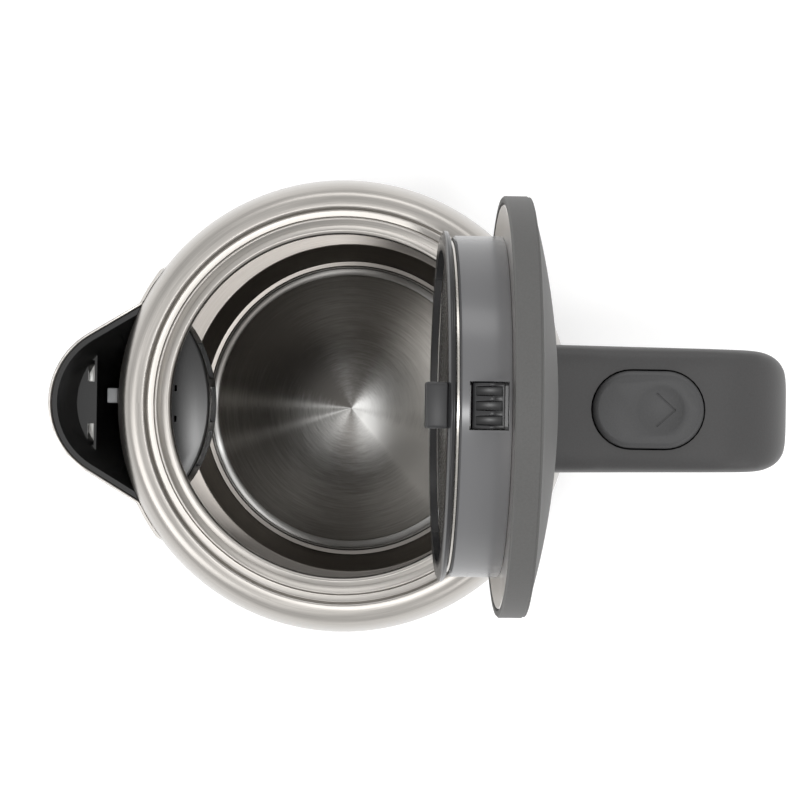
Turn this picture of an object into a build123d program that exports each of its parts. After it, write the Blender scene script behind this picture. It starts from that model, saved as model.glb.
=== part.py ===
"""Cordless electric kettle: steel jug with open lid, standing on its power base.

Frame: +Z up, origin on the jug's axis at floor level, handle towards +X, spout towards -X.
The lid is modelled where it rests, open. All lengths are millimetres.
"""
import os
from math import cos, radians, sin, tan

from build123d import *

os.makedirs("parts", exist_ok=True)

# ---------------------------------------------------------------- driving dimensions
RUNNING_GAP = 0.06      # radial play of a pin in a bore
FIT_GAP = 0.15          # play between pieces that are fixed together
MOVING_GAP = 0.5        # play round a piece that slides or turns

# power base
foot_height = 2.0
foot_radius = 7.0
foot_margin = 17.0      # feet's circle inside the base's edge
base_radius = 79.0
base_top = 20.0
base_wall = 2.5
base_plate_thickness = 2.5
base_edge_radius = 4.0
cord_bore_radius = 3.4
gland_radius = 7.0
gland_length = 14.0
boss_height = 9.0       # connector boss above the base's top

# connector
plug_radius = 15.0
collar_thickness = 3.0
socket_wall = 2.5
contact_thickness = 1.2
contact_circles = (10.5, 5.5)

# jug
shell_thickness = 0.8
skirt_height = 12.0     # plastic bottom cover below the steel shell
bottom_radius = 77.0
shoulder_radius = 74.6
shoulder_depth = 26.0
rim_height = 230.0      # crest of the shoulder above the floor
crest_radius = 65.0
seat_depth = 3.2        # ledge below the crest
seat_radius = 64.3
neck_radius = 55.8
neck_depth = 3.4        # neck below the ledge
ridge_inset = 3.4       # pressed ridge on the ledge, from the foot of the step
ridge_height = 0.4
ridge_half_width = 0.7
water_depth = 185.0     # crest to heating plate
pan_ledge_height = 9.0
pan_ledge_radius = 61.7
plate_radius = 54.4
plate_thickness = 1.0

# spout and filter
spout_top_drop = 13.0   # spout lip below the crest
spout_height = 66.0
spout_reach = 97.0
spout_nose_radius = 26.5
spout_half_angle = 31.0
spout_wall = 0.8
liner_wall = 1.6
spout_root_reach = 73.0
spout_root_nose = 20.0
window_margin = 5.0     # spout wall to the pouring window
window_height = 30.0
window_inset = 1.0      # window's top below the filter's top
spout_flange = 6.0      # width of the welded flange round the spout
filter_arc_radius = 46.4
filter_reach = 44.8     # how near to the jug's axis the cartridge comes
filter_wall = 1.6
filter_height = 40.0
filter_clearance = 1.5  # filter's top below the lid's tab when shut
mesh_thickness = 0.5

# lid, in its own frame: origin at the middle of its rim plane, z out through the dome
lid_gap = 0.6           # lid's edge to the foot of the step round it
band_height = 7.5
dome_height = 9.5
cap_wall = 2.4
plug_gap = 4.3          # plug's skirt to the neck
plug_depth = 15.0
plug_wall = 2.0
flange_thickness = 1.6
seal_gap = 2.8          # moulded seal to the neck, which its lip would close
seal_thickness = 2.2
disc_thickness = 1.0
rim_clearance = 0.8     # rim plane above the ledge when shut
lid_open_angle = 92.5
hinge_reach = 57.0
hinge_rise = 11.0       # hinge above the lid's rim plane
pin_radius = 2.0
ear_radius = 4.2
ear_width = 4.0
ear_place = 13.0
notch_half_width = 23.0
notch_reach = 47.0
barrel_radius = 9.4
latch_width = 13.0
latch_height = 10.4
latch_nose = 5.2
latch_top_drop = 1.3
tab_width = 13.4
tab_length = 6.4

# handle
handle_half_width = 21.0
handle_end_half_width = 19.5
handle_reach = 148.0
handle_corner = 15.0
handle_top_rise = 15.0
handle_wall = 2.6
grip_depth = 25.0
grip_cover_thickness = 4.0
handle_drop = 168.0
arm_drop = 14.0
button_length = 35.6
button_width = 24.8
button_place = 97.8
button_stand = 2.0
button_travel = 3.0
button_height = 9.0
rod_width = 8.0
rod_height = 3.0
switch_width = 20.0
switch_pin_radius = 1.5

# ---------------------------------------------------------------- derived places
foot_circle = base_radius - foot_margin
jug_bottom = base_top
shell_bottom = jug_bottom + skirt_height
seat_height = rim_height - seat_depth
plate_top = rim_height - water_depth
pan_ledge = plate_top + pan_ledge_height
shoulder_height = rim_height - shoulder_depth
wall_slope = (bottom_radius - shoulder_radius) / (shoulder_height - shell_bottom)
hinge_height = seat_height + rim_clearance + hinge_rise
spout_top = rim_height - spout_top_drop
spout_bottom = spout_top - spout_height
lid_radius = seat_radius - lid_gap
plug_skirt_radius = neck_radius - plug_gap
seal_radius = neck_radius - seal_gap
flange_radius = lid_radius - cap_wall - FIT_GAP
seal_level = -plug_depth - FIT_GAP - disc_thickness
shut_tab_bottom = seat_height + rim_clearance + seal_level - seal_thickness - tab_length
filter_top = shut_tab_bottom - filter_clearance
window_top = filter_top - window_inset
window_bottom = window_top - window_height
filter_bottom = filter_top - filter_height
handle_top = rim_height + handle_top_rise
arm_bottom = rim_height - arm_drop

theta = radians(lid_open_angle)
hinge_point = Vector(hinge_reach, 0, hinge_height)
lid_x = Vector(cos(theta), 0, -sin(theta))
lid_z = Vector(sin(theta), 0, cos(theta))
lid_origin = hinge_point - lid_x * hinge_reach - lid_z * hinge_rise
lid_plane = Plane(origin=lid_origin, x_dir=lid_x, z_dir=lid_z)
lid_section = Plane(origin=lid_origin, x_dir=lid_x, z_dir=(0, -1, 0))
lid_axis = Axis(lid_origin, lid_z)


def wall_radius(height):
    """Outer radius of the jug's straight wall at a height above the floor."""
    return shoulder_radius + (shoulder_height - height) * wall_slope


def spout_apex(height):
    """Reach of the spout's sides, carried on to where they would meet."""
    rounding = 1 / sin(radians(spout_half_angle)) - 1
    low = spout_root_reach + spout_root_nose * rounding
    high = spout_reach + spout_nose_radius * rounding
    return low + (high - low) * (height - spout_bottom) / spout_height


def spout_half_width(height):
    """Half the spout's width where it meets the jug's wall at a height."""
    return (spout_apex(height) - wall_radius(height)) * tan(radians(spout_half_angle))


def finish(builder, name):
    """Label a finished piece and write it as its own STEP file."""
    builder.part.label = name
    export_step(builder.part, f"parts/{name}.step")


def jug_solid(grow=0.0):
    """The jug's outer shape as a full solid, grown outwards by a clearance."""
    foot = (bottom_radius + grow, shell_bottom)
    knee = (shoulder_radius + grow, shoulder_height)
    crest = (crest_radius, rim_height + grow)
    with BuildPart() as solid:
        with BuildSketch(Plane.XZ):
            with BuildLine():
                Polyline((0, rim_height + grow), (0, shell_bottom), foot, knee)
                Spline(knee, crest, tangents=[(-wall_slope, 1), (-1, 0.12)])
                Line(crest, (0, rim_height + grow))
            make_face()
        revolve(axis=Axis.Z)
    return solid.part


# ================================================================ power base
gland_outer = base_radius + 3.0
gland_height = foot_height + base_wall + gland_radius

with BuildPart() as base_housing:
    with BuildSketch(Plane.XZ) as profile:
        with BuildLine():
            Line((0, foot_height), (base_radius - 2, foot_height))
            Line((base_radius - 2, foot_height), (base_radius, foot_height + 2))
            Line((base_radius, foot_height + 2), (base_radius - 1, base_top - base_edge_radius))
            RadiusArc((base_radius - 1, base_top - base_edge_radius),
                      (base_radius - 1 - base_edge_radius, base_top), -base_edge_radius)
            Line((base_radius - 1 - base_edge_radius, base_top), (0, base_top))
            Line((0, base_top), (0, foot_height))
        make_face()
    revolve(axis=Axis.Z)
    with BuildSketch(Plane.XY.offset(foot_height)):
        Circle(base_radius - 2 - base_wall)
    extrude(amount=base_top - foot_height - base_wall, mode=Mode.SUBTRACT)
    with BuildSketch(Plane.XY.offset(base_top - base_wall)):
        Circle(plug_radius + 2 * collar_thickness + 3 * MOVING_GAP)
    extrude(amount=base_wall, mode=Mode.SUBTRACT)
    with BuildSketch(Plane.XY.offset(foot_height + base_plate_thickness)):
        with PolarLocations(foot_circle, 4, start_angle=45):
            Circle(4)
    extrude(amount=base_top - foot_height - base_wall - base_plate_thickness)
    with BuildSketch(Plane.XY.offset(foot_height)):
        with PolarLocations(foot_circle, 4, start_angle=45):
            Circle(1.4)
    extrude(amount=12, mode=Mode.SUBTRACT)
    with BuildSketch(Plane.YZ.offset(base_radius - 12)):
        with Locations((0, gland_height)):
            Circle(gland_radius - 1.5 + FIT_GAP)
    extrude(amount=20, mode=Mode.SUBTRACT)
finish(base_housing, "base_housing")

with BuildPart() as base_plate:
    with BuildSketch(Plane.XY.offset(foot_height)) as outline:
        Circle(base_radius - 2 - base_wall - FIT_GAP)
        with PolarLocations(foot_circle, 4, start_angle=45):
            Circle(1.8, mode=Mode.SUBTRACT)
        with PolarLocations(foot_circle, 4):
            Circle(foot_radius - 2, mode=Mode.SUBTRACT)
    extrude(amount=base_plate_thickness)
    with BuildSketch(Plane.XY.offset(foot_height + base_plate_thickness)):
        with Locations((base_radius - 2 - base_wall - 3.5, 0)):
            Rectangle(4, 2 * gland_radius)
    extrude(amount=base_wall - 1)
finish(base_plate, "base_plate")

with BuildPart() as base_feet:
    with BuildSketch(Plane.XY):
        with PolarLocations(foot_circle, 4):
            Circle(foot_radius)
    extrude(amount=foot_height)
    chamfer(base_feet.faces().sort_by(Axis.Z)[0].edges(), 0.6)
    with BuildSketch(Plane.XY.offset(foot_height)):
        with PolarLocations(foot_circle, 4):
            Circle(foot_radius - 2 - FIT_GAP)
    extrude(amount=base_plate_thickness + 1)
finish(base_feet, "base_feet")

with BuildPart() as base_screws:
    with BuildSketch(Plane.XY.offset(foot_height + 0.4)):
        with PolarLocations(foot_circle, 4, start_angle=45):
            Circle(1.3)
    extrude(amount=9)
    with BuildSketch(Plane.XY.offset(foot_height - 1.4)):
        with PolarLocations(foot_circle, 4, start_angle=45):
            Circle(2.8)
            RegularPolygon(1.2, 6, mode=Mode.SUBTRACT)
    extrude(amount=1.4)
    with BuildSketch(Plane.XY.offset(foot_height)):
        with PolarLocations(foot_circle, 4, start_angle=45):
            Circle(1.3)
    extrude(amount=0.4)
finish(base_screws, "base_screws")

with BuildPart() as cord_gland:
    with BuildSketch(Plane.YZ.offset(gland_outer)):
        with Locations((0, gland_height)):
            Circle(gland_radius)
    extrude(amount=-(gland_outer - base_radius - 0.4))
    with BuildSketch(Plane.YZ.offset(gland_outer)):
        with Locations((0, gland_height)):
            Circle(gland_radius - 1.5)
    extrude(amount=-gland_length)
    with BuildSketch(Plane.YZ.offset(gland_outer)):
        with Locations((0, gland_height)):
            Circle(cord_bore_radius)
    extrude(amount=-gland_length, mode=Mode.SUBTRACT)
finish(cord_gland, "cord_gland")

connector_floor = foot_height + base_plate_thickness
connector_tip = base_top + boss_height
ring_groove = 2.2
with BuildPart() as base_connector:
    with BuildSketch(Plane.XY.offset(connector_floor)):
        Circle(plug_radius + 2 * collar_thickness + MOVING_GAP)
    extrude(amount=base_wall)
    with BuildSketch(Plane.XY.offset(connector_floor)):
        Circle(plug_radius)
    extrude(amount=connector_tip - connector_floor)
    fillet(base_connector.faces().sort_by(Axis.Z)[-1].edges(), 1.5)
    with BuildSketch(Plane.XY.offset(connector_tip)):
        for middle in contact_circles:
            Circle(middle + ring_groove / 2)
            Circle(middle - ring_groove / 2, mode=Mode.SUBTRACT)
        Circle(2.2)
    extrude(amount=-(boss_height + 6), mode=Mode.SUBTRACT)
finish(base_connector, "base_connector")

with BuildPart() as base_contacts:
    with BuildSketch(Plane.XY.offset(connector_tip - boss_height - 6)):
        for middle in contact_circles:
            Circle(middle + contact_thickness / 2)
            Circle(middle - contact_thickness / 2, mode=Mode.SUBTRACT)
        Circle(1.4)
    extrude(amount=boss_height + 1)
finish(base_contacts, "base_contacts")

# ================================================================ connector collar and jug socket
collar_inner = plug_radius + MOVING_GAP
collar_outer = collar_inner + collar_thickness
with BuildPart() as guide_collar:
    with BuildSketch(Plane.XY.offset(connector_floor + base_wall)):
        Circle(collar_outer)
        Circle(collar_inner, mode=Mode.SUBTRACT)
    extrude(amount=connector_tip - 2 - connector_floor - base_wall)
    with BuildSketch(Plane.XY.offset(connector_floor + base_wall)):
        Circle(collar_outer + 2)
        Circle(collar_inner, mode=Mode.SUBTRACT)
    extrude(amount=2)
    chamfer(guide_collar.faces().sort_by(Axis.Z)[-1].edges(), 0.8)
finish(guide_collar, "guide_collar")

socket_inner = collar_outer + MOVING_GAP
socket_outer = socket_inner + socket_wall
socket_ceiling = connector_tip + 1.0
with BuildPart() as jug_socket:
    with BuildSketch(Plane.XY.offset(jug_bottom + 1)):
        Circle(socket_outer)
        Circle(socket_inner, mode=Mode.SUBTRACT)
    extrude(amount=socket_ceiling - jug_bottom - 1)
    with BuildSketch(Plane.XY.offset(socket_ceiling)):
        Circle(socket_outer)
        for middle in contact_circles:
            with PolarLocations(middle, 2):
                Rectangle(1.2, 3, mode=Mode.SUBTRACT)
        Circle(1.6, mode=Mode.SUBTRACT)
    extrude(amount=2)
finish(jug_socket, "jug_socket")

with BuildPart() as socket_contacts:
    with BuildSketch(Plane.XY.offset(socket_ceiling - 3)):
        for middle in contact_circles:
            with PolarLocations(middle, 2):
                Rectangle(0.8, 2.4)
        Circle(1.2)
    extrude(amount=6)
finish(socket_contacts, "socket_contacts")

# ================================================================ jug
with BuildPart() as jug_shell:
    add(jug_solid())
    with BuildSketch(Plane.XZ):
        with BuildLine():
            inner_foot = (bottom_radius - shell_thickness, shell_bottom)
            inner_knee = (shoulder_radius - shell_thickness, shoulder_height)
            under_crest = (crest_radius + shell_thickness + 0.3, rim_height - shell_thickness - 0.3)
            under_step = (seat_radius + shell_thickness, seat_height - shell_thickness)
            under_seat = (neck_radius + shell_thickness, seat_height - shell_thickness)
            neck_outer = (neck_radius + shell_thickness, seat_height - neck_depth)
            neck_inner = (neck_radius, seat_height - neck_depth)
            Line((0, shell_bottom), inner_foot)
            Line(inner_foot, inner_knee)
            Spline(inner_knee, under_crest, tangents=[(-wall_slope, 1), (-1, 0.12)])
            Polyline(under_crest, under_step, under_seat, neck_outer, neck_inner,
                     (neck_radius, rim_height + 1), (0, rim_height + 1), (0, shell_bottom))
        make_face()
    revolve(axis=Axis.Z, mode=Mode.SUBTRACT)
    with BuildSketch(Plane.XZ):
        with BuildLine():
            ridge = seat_radius - ridge_inset
            Polyline((0, seat_height), (neck_radius + 1.5, seat_height), (ridge - ridge_half_width, seat_height),
                     (ridge, seat_height + ridge_height), (ridge + ridge_half_width, seat_height),
                     (seat_radius, seat_height), (crest_radius, rim_height + 1), (0, rim_height + 1),
                     (0, seat_height))
        make_face()
    revolve(axis=Axis.Z, mode=Mode.SUBTRACT)
    crest_edges = jug_shell.edges().filter_by(GeomType.CIRCLE).filter_by(
        lambda e: e.center().Z > seat_height - 0.1)
    fillet(crest_edges.filter_by(lambda e: abs(e.radius - neck_radius) < 0.01), 0.5)
    with BuildSketch(Plane.YZ) as window:
        top_half = spout_half_width(window_top) - window_margin
        bottom_half = spout_half_width(window_bottom) - window_margin
        with BuildLine():
            Polyline((-top_half, window_top), (top_half, window_top), (bottom_half, window_bottom),
                     (-bottom_half, window_bottom), close=True)
        make_face()
        fillet(window.vertices(), 4)
    extrude(amount=-bottom_radius - 5, mode=Mode.SUBTRACT)
finish(jug_shell, "jug_shell")

with BuildPart() as floor_pan:
    pan_outer = wall_radius(pan_ledge) - shell_thickness - FIT_GAP
    pan_lip = wall_radius(pan_ledge - 8) - shell_thickness - FIT_GAP
    with BuildSketch(Plane.XZ) as profile:
        with BuildLine():
            plate_bottom = plate_top - plate_thickness
            Polyline((pan_outer, pan_ledge), (pan_ledge_radius, pan_ledge),
                     (plate_radius + 1.4, plate_top + 0.2), (plate_radius + 0.1, plate_top + 0.2),
                     (plate_radius + 0.1, plate_bottom), (plate_radius - 2, plate_bottom),
                     (plate_radius - 2, plate_bottom - 0.8), (plate_radius + 2, plate_bottom - 0.8),
                     (pan_ledge_radius + 0.9, pan_ledge - 1), (pan_outer - 1, pan_ledge - 1),
                     (pan_outer - 1, pan_ledge - 8), (pan_lip, pan_ledge - 8), close=True)
        make_face()
    revolve(axis=Axis.Z)
finish(floor_pan, "floor_pan")

with BuildPart() as heating_plate:
    with BuildSketch(Plane.XY.offset(plate_top - plate_thickness)):
        Circle(plate_radius)
    extrude(amount=plate_thickness)
    with BuildSketch(Plane.XY.offset(plate_top)):
        Circle(plate_radius)
        Circle(plate_radius - 0.9, mode=Mode.SUBTRACT)
    extrude(amount=0.35)
finish(heating_plate, "heating_plate")

spreader_radius = plate_radius - 6
spreader_thickness = 2.5
with BuildPart() as heat_spreader:
    with BuildSketch(Plane.XY.offset(plate_top - plate_thickness)):
        Circle(spreader_radius)
    extrude(amount=-spreader_thickness)
finish(heat_spreader, "heat_spreader")

element_radius = 37.0
element_tube = 3.3
element_height = plate_top - plate_thickness - spreader_thickness - element_tube
tail_turn = 155.0
with BuildPart() as heating_element:
    with BuildLine(Plane.XY.offset(element_height)) as path:
        CenterArc((0, 0), element_radius, -tail_turn, 2 * tail_turn)
    with BuildSketch(Plane(origin=path.line @ 0, z_dir=path.line % 0)):
        Circle(element_tube)
    sweep(path=path.line)
    for end in (0, 1):
        tail_sign = 1 if end else -1
        direction = (path.line % end) * tail_sign
        with BuildSketch(Plane(origin=path.line @ end, z_dir=direction)):
            Circle(1.2)
        extrude(amount=7)
finish(heating_element, "heating_element")

control_width = 46.0
control_length = 52.0
control_bottom = socket_ceiling + 2.0
with BuildPart() as control_unit:
    with BuildSketch(Plane.XY.offset(control_bottom)):
        RectangleRounded(control_length, control_width, 6)
        Circle(6.5, mode=Mode.SUBTRACT)
        for middle in contact_circles[:1]:
            with PolarLocations(middle, 2):
                Rectangle(3, 4, mode=Mode.SUBTRACT)
    extrude(amount=plate_top - plate_thickness - spreader_thickness - 1.5 - control_bottom)
    chamfer(control_unit.faces().sort_by(Axis.Z)[-1].outer_wire().edges(), 0.8)
finish(control_unit, "control_unit")

with BuildPart() as bimetal_disc:
    with BuildSketch(Plane.XY.offset(plate_top - plate_thickness - spreader_thickness - 1.0)):
        with Locations((-16, 0)):
            Circle(6.5)
    extrude(amount=0.6)
finish(bimetal_disc, "bimetal_disc")

skirt_outer = wall_radius(shell_bottom) + 0.2
screw_circle = 50.0
with BuildPart() as jug_base:
    with BuildSketch(Plane.XZ) as profile:
        with BuildLine():
            Polyline((socket_outer + FIT_GAP, jug_bottom + 3), (skirt_outer - 12, jug_bottom + 3),
                     (skirt_outer - 10, jug_bottom), (skirt_outer - 1.5, jug_bottom),
                     (skirt_outer, jug_bottom + 1.5), (skirt_outer, shell_bottom - FIT_GAP),
                     (skirt_outer - 1, shell_bottom - FIT_GAP), (skirt_outer - 1.2, shell_bottom + 4),
                     (skirt_outer - 3.2, shell_bottom + 4), (skirt_outer - 3.2, jug_bottom + 5.5),
                     (socket_outer + FIT_GAP, jug_bottom + 5.5), close=True)
        make_face()
    revolve(axis=Axis.Z)
    with BuildSketch(Plane.XY.offset(jug_bottom + 3)):
        with PolarLocations(screw_circle, 3, start_angle=60):
            Circle(1.8)
    extrude(amount=2.5, mode=Mode.SUBTRACT)
finish(jug_base, "jug_base")

with BuildPart() as jug_base_screws:
    with BuildSketch(Plane.XY.offset(jug_bottom + 1.6)):
        with PolarLocations(screw_circle, 3, start_angle=60):
            Circle(3)
            RegularPolygon(1.3, 6, mode=Mode.SUBTRACT)
    extrude(amount=1.4)
    with BuildSketch(Plane.XY.offset(jug_bottom + 2.4)):
        with PolarLocations(screw_circle, 3, start_angle=60):
            Circle(1.6)
    extrude(amount=10)
finish(jug_base_screws, "jug_base_screws")

# ================================================================ spout
def beak_outline(height, reach, nose_radius, inset):
    """Level section of the spout: a triangle towards -X with a rounded nose."""
    half = radians(spout_half_angle)
    apex = reach + nose_radius * (1 / sin(half) - 1) - inset / sin(half)
    root = 30.0
    width = (apex - root) * tan(half)
    with BuildSketch(Plane.XY.offset(height)) as outline:
        with BuildLine():
            Polyline((-root, width), (-apex, 0), (-root, -width), close=True)
        make_face()
        fillet(outline.vertices().sort_by(Axis.X)[0], nose_radius - inset)
    return outline.sketch


def beak(inset=0.0):
    """The spout's solid from its root up to its lip, moved inwards by inset."""
    with BuildPart() as solid:
        low = beak_outline(spout_bottom, spout_root_reach, spout_root_nose, inset)
        high = beak_outline(spout_top, spout_reach, spout_nose_radius, inset)
        loft([low, high])
    return solid.part


jug_envelope = jug_solid(FIT_GAP)
with BuildPart() as spout:
    add(jug_solid(FIT_GAP + spout_wall))
    add(beak(-spout_flange), mode=Mode.INTERSECT)
    add(beak())
    add(beak(spout_wall), mode=Mode.SUBTRACT)
    add(jug_envelope, mode=Mode.SUBTRACT)
finish(spout, "spout")

with BuildPart() as spout_liner:
    add(beak(spout_wall + FIT_GAP))
    add(beak(spout_wall + liner_wall), mode=Mode.SUBTRACT)
    add(jug_envelope, mode=Mode.SUBTRACT)
    with BuildSketch(Plane.XY.offset(spout_top)):
        Rectangle(4 * spout_reach, 4 * spout_reach)
    extrude(amount=-0.8, mode=Mode.SUBTRACT)
finish(spout_liner, "spout_liner")

# ================================================================ filter cartridge
filter_back = wall_radius(filter_top) - shell_thickness - MOVING_GAP
with BuildPart() as filter_frame:
    with BuildSketch(Plane.XY.offset(filter_bottom)) as plan:
        with Locations((-filter_reach - filter_arc_radius, 0)):
            Circle(filter_arc_radius)
        Circle(filter_back - 0.8, mode=Mode.INTERSECT)
    extrude(amount=filter_height)
    fillet(filter_frame.faces().sort_by(Axis.Z)[-1].edges().sort_by(Axis.X)[-1], 1.2)
    with BuildSketch(Plane.XY.offset(filter_bottom + filter_wall)):
        with Locations((-filter_reach - filter_arc_radius, 0)):
            Circle(filter_arc_radius - filter_wall)
        with Locations((-200 - filter_back + 8, 0)):
            Rectangle(400, 400, mode=Mode.SUBTRACT)
    extrude(amount=filter_height - 2 * filter_wall, mode=Mode.SUBTRACT)
    with BuildSketch(Plane.YZ.offset(-filter_back - 5)):
        with Locations((0, (filter_top + filter_bottom) / 2)):
            Rectangle(44, filter_height - 10)
    extrude(amount=18, mode=Mode.SUBTRACT)
    with BuildSketch(Plane.YZ.offset(-filter_reach - 14)):
        with Locations((0, (filter_top + filter_bottom) / 2)):
            with GridLocations(15, 1, 3, 1):
                Rectangle(12, filter_height - 12)
    extrude(amount=20, mode=Mode.SUBTRACT)
finish(filter_frame, "filter_frame")

mesh_arc = filter_arc_radius - filter_wall
with BuildPart() as filter_mesh:
    with BuildSketch(Plane.XY.offset(filter_bottom + 4)) as band:
        with Locations((-filter_reach - filter_arc_radius, 0)):
            Circle(mesh_arc - 0.05)
            Circle(mesh_arc - 0.05 - mesh_thickness, mode=Mode.SUBTRACT)
        with Locations((-filter_reach - 100 - 9, 0)):
            Rectangle(200, 200, mode=Mode.SUBTRACT)
    extrude(amount=filter_height - 8)
finish(filter_mesh, "filter_mesh")

# ================================================================ lid
def lid_level(height):
    """Plane across the lid at a height above its rim plane."""
    return lid_plane.offset(height)


def dome_sphere(edge_radius):
    """Radius of the sphere that rises by the dome's height over a round edge."""
    return (edge_radius ** 2 + dome_height ** 2) / (2 * dome_height)


apex_height = band_height + dome_height
cap_edge = 2.0
lid_screw_circle = 43.0
notch_length = lid_radius
with BuildPart() as lid_cap:
    with BuildSketch(lid_section) as profile:
        with BuildLine():
            Polyline((0, apex_height), (0, 0), (lid_radius, 0), (lid_radius, band_height))
            RadiusArc((lid_radius, band_height), (0, apex_height), -dome_sphere(lid_radius))
        make_face()
        fillet(profile.vertices().filter_by(lambda v: v.X > 1 and v.Y > 1), cap_edge)
    revolve(axis=lid_axis)
    with BuildSketch(lid_section):
        inner_radius = lid_radius - cap_wall
        with BuildLine():
            Polyline((0, apex_height - cap_wall), (0, 0), (inner_radius, 0), (inner_radius, band_height - cap_wall))
            RadiusArc((inner_radius, band_height - cap_wall), (0, apex_height - cap_wall),
                      -dome_sphere(inner_radius))
        make_face()
    revolve(axis=lid_axis, mode=Mode.SUBTRACT)
    with BuildSketch(lid_level(-1)):
        with Locations((notch_reach + notch_length / 2, 0)):
            Rectangle(notch_length, 2 * notch_half_width)
    extrude(amount=apex_height + 2, mode=Mode.SUBTRACT)
    with BuildSketch(lid_level(flange_thickness + FIT_GAP)):
        with Locations((notch_reach - cap_wall / 2, 0)):
            Rectangle(cap_wall, 2 * (notch_half_width + 1))
    extrude(amount=band_height - flange_thickness + 1.5)
    with BuildSketch(lid_level(flange_thickness + FIT_GAP)):
        with PolarLocations(lid_screw_circle, 4, start_angle=45):
            Circle(3)
    extrude(amount=band_height + 3)
    with BuildSketch(lid_level(0)):
        with PolarLocations(lid_screw_circle, 4, start_angle=45):
            Circle(1.2)
    extrude(amount=band_height + 1, mode=Mode.SUBTRACT)
    for side in (-1, 1):
        ear_plane = Plane(origin=lid_origin, x_dir=lid_x, z_dir=(0, -1, 0)).offset(
            side * ear_place - ear_width / 2)
        with BuildSketch(ear_plane):
            with Locations((hinge_reach, hinge_rise)):
                Circle(ear_radius)
            with BuildLine():
                Polyline((notch_reach - cap_wall, flange_thickness + FIT_GAP),
                         (notch_reach + 2, flange_thickness + FIT_GAP),
                         (hinge_reach + ear_radius * 0.8, hinge_rise - ear_radius * 0.6),
                         (hinge_reach - 1, hinge_rise + ear_radius * 0.95),
                         (notch_reach - cap_wall, band_height + 1.5), close=True)
            make_face()
            with Locations((hinge_reach, hinge_rise)):
                Circle(pin_radius + RUNNING_GAP, mode=Mode.SUBTRACT)
        extrude(amount=ear_width)
finish(lid_cap, "lid_cap")

latch_window = latch_width + 2 * MOVING_GAP
with BuildPart() as lid_plug:
    with BuildSketch(lid_section) as profile:
        with BuildLine():
            Polyline((plug_skirt_radius - plug_wall, flange_thickness), (flange_radius, flange_thickness),
                     (flange_radius, 0), (plug_skirt_radius, 0), (plug_skirt_radius, -plug_depth),
                     (plug_skirt_radius - plug_wall, -plug_depth), close=True)
        make_face()
    revolve(axis=lid_axis)
    with BuildSketch(lid_level(0)):
        Circle(plug_skirt_radius)
        Circle(lid_screw_circle - 6, mode=Mode.SUBTRACT)
        with PolarLocations(lid_screw_circle, 4, start_angle=45):
            Circle(1.6, mode=Mode.SUBTRACT)
    extrude(amount=flange_thickness)
    with BuildSketch(lid_level(-plug_depth)):
        Circle(plug_skirt_radius)
        Circle(plug_skirt_radius - 8, mode=Mode.SUBTRACT)
    extrude(amount=plug_wall)
    with BuildSketch(lid_level(-1)):
        with Locations((notch_reach - cap_wall - FIT_GAP + 1 + notch_length / 2, 0)):
            Rectangle(notch_length, 2 * (notch_half_width + 1.2))
    extrude(amount=flange_thickness + 2, mode=Mode.SUBTRACT)
    with BuildSketch(lid_level(-latch_top_drop + 0.4)):
        with Locations((-plug_skirt_radius, 0)):
            Rectangle(14, latch_window)
    extrude(amount=-(latch_height + 1.0), mode=Mode.SUBTRACT)
finish(lid_plug, "lid_plug")

with BuildPart() as latch_guide:
    with BuildSketch(lid_level(-latch_top_drop + 0.4)):
        with Locations((-plug_skirt_radius + 11, 0)):
            Rectangle(17, latch_window + 3.0)
        Circle(plug_skirt_radius - plug_wall - FIT_GAP, mode=Mode.INTERSECT)
    extrude(amount=-(latch_height + 1.0))
    with BuildSketch(lid_level(-latch_top_drop + 0.4 - 1.0)):
        with Locations((-plug_skirt_radius + 9, 0)):
            Rectangle(18, latch_width + MOVING_GAP)
    extrude(amount=-(latch_height + 1.0 - 1.5), mode=Mode.SUBTRACT)
finish(latch_guide, "latch_guide")

latch_body = latch_height - 1.2
latch_top = -latch_top_drop - 0.9
latch_back = -plug_skirt_radius + 11.5
latch_front = -plug_skirt_radius - 1.0
with BuildPart() as latch_bolt:
    with BuildSketch(Plane(origin=lid_origin, x_dir=lid_x, z_dir=(0, -1, 0)).offset(
            -latch_width / 2)):
        with BuildLine():
            Polyline((latch_back, latch_top), (latch_front, latch_top), (latch_front, latch_top - 3.2),
                     (latch_front - latch_nose, latch_top - 3.2), (latch_front - latch_nose, latch_top - 4.6),
                     (latch_front, latch_top - latch_body), (latch_back, latch_top - latch_body), close=True)
        make_face()
    extrude(amount=latch_width)
    with BuildSketch(Plane(origin=lid_origin - lid_x * (plug_skirt_radius + 1.0) , x_dir=(0, 1, 0),
                           z_dir=lid_x)):
        with GridLocations(4.2, 1, 3, 1):
            with Locations((0, 0)):
                Rectangle(2.9, 2 * latch_height)
    extrude(amount=-latch_nose - 1, mode=Mode.SUBTRACT)
finish(latch_bolt, "latch_bolt")

disc_radius = plug_skirt_radius - 1.5
with BuildPart() as lid_disc:
    with BuildSketch(lid_level(-plug_depth - FIT_GAP)):
        Circle(disc_radius)
    extrude(amount=-disc_thickness)
finish(lid_disc, "lid_disc")

with BuildPart() as lid_seal:
    with BuildSketch(lid_level(seal_level)):
        Circle(seal_radius)
        Circle(seal_radius - 6, mode=Mode.SUBTRACT)
    extrude(amount=-seal_thickness)
    fillet(lid_seal.edges().filter_by(GeomType.CIRCLE).group_by(SortBy.RADIUS)[-1], 0.7)
finish(lid_seal, "lid_seal")

with BuildPart() as lid_tab:
    with BuildSketch(lid_level(seal_level - seal_thickness)):
        with Locations((-plug_skirt_radius + 5, 0)):
            Rectangle(9, tab_width)
    extrude(amount=-tab_length)
    fillet(lid_tab.edges().filter_by(Axis(lid_origin, lid_z)), 1.0)
finish(lid_tab, "lid_tab")

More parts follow.
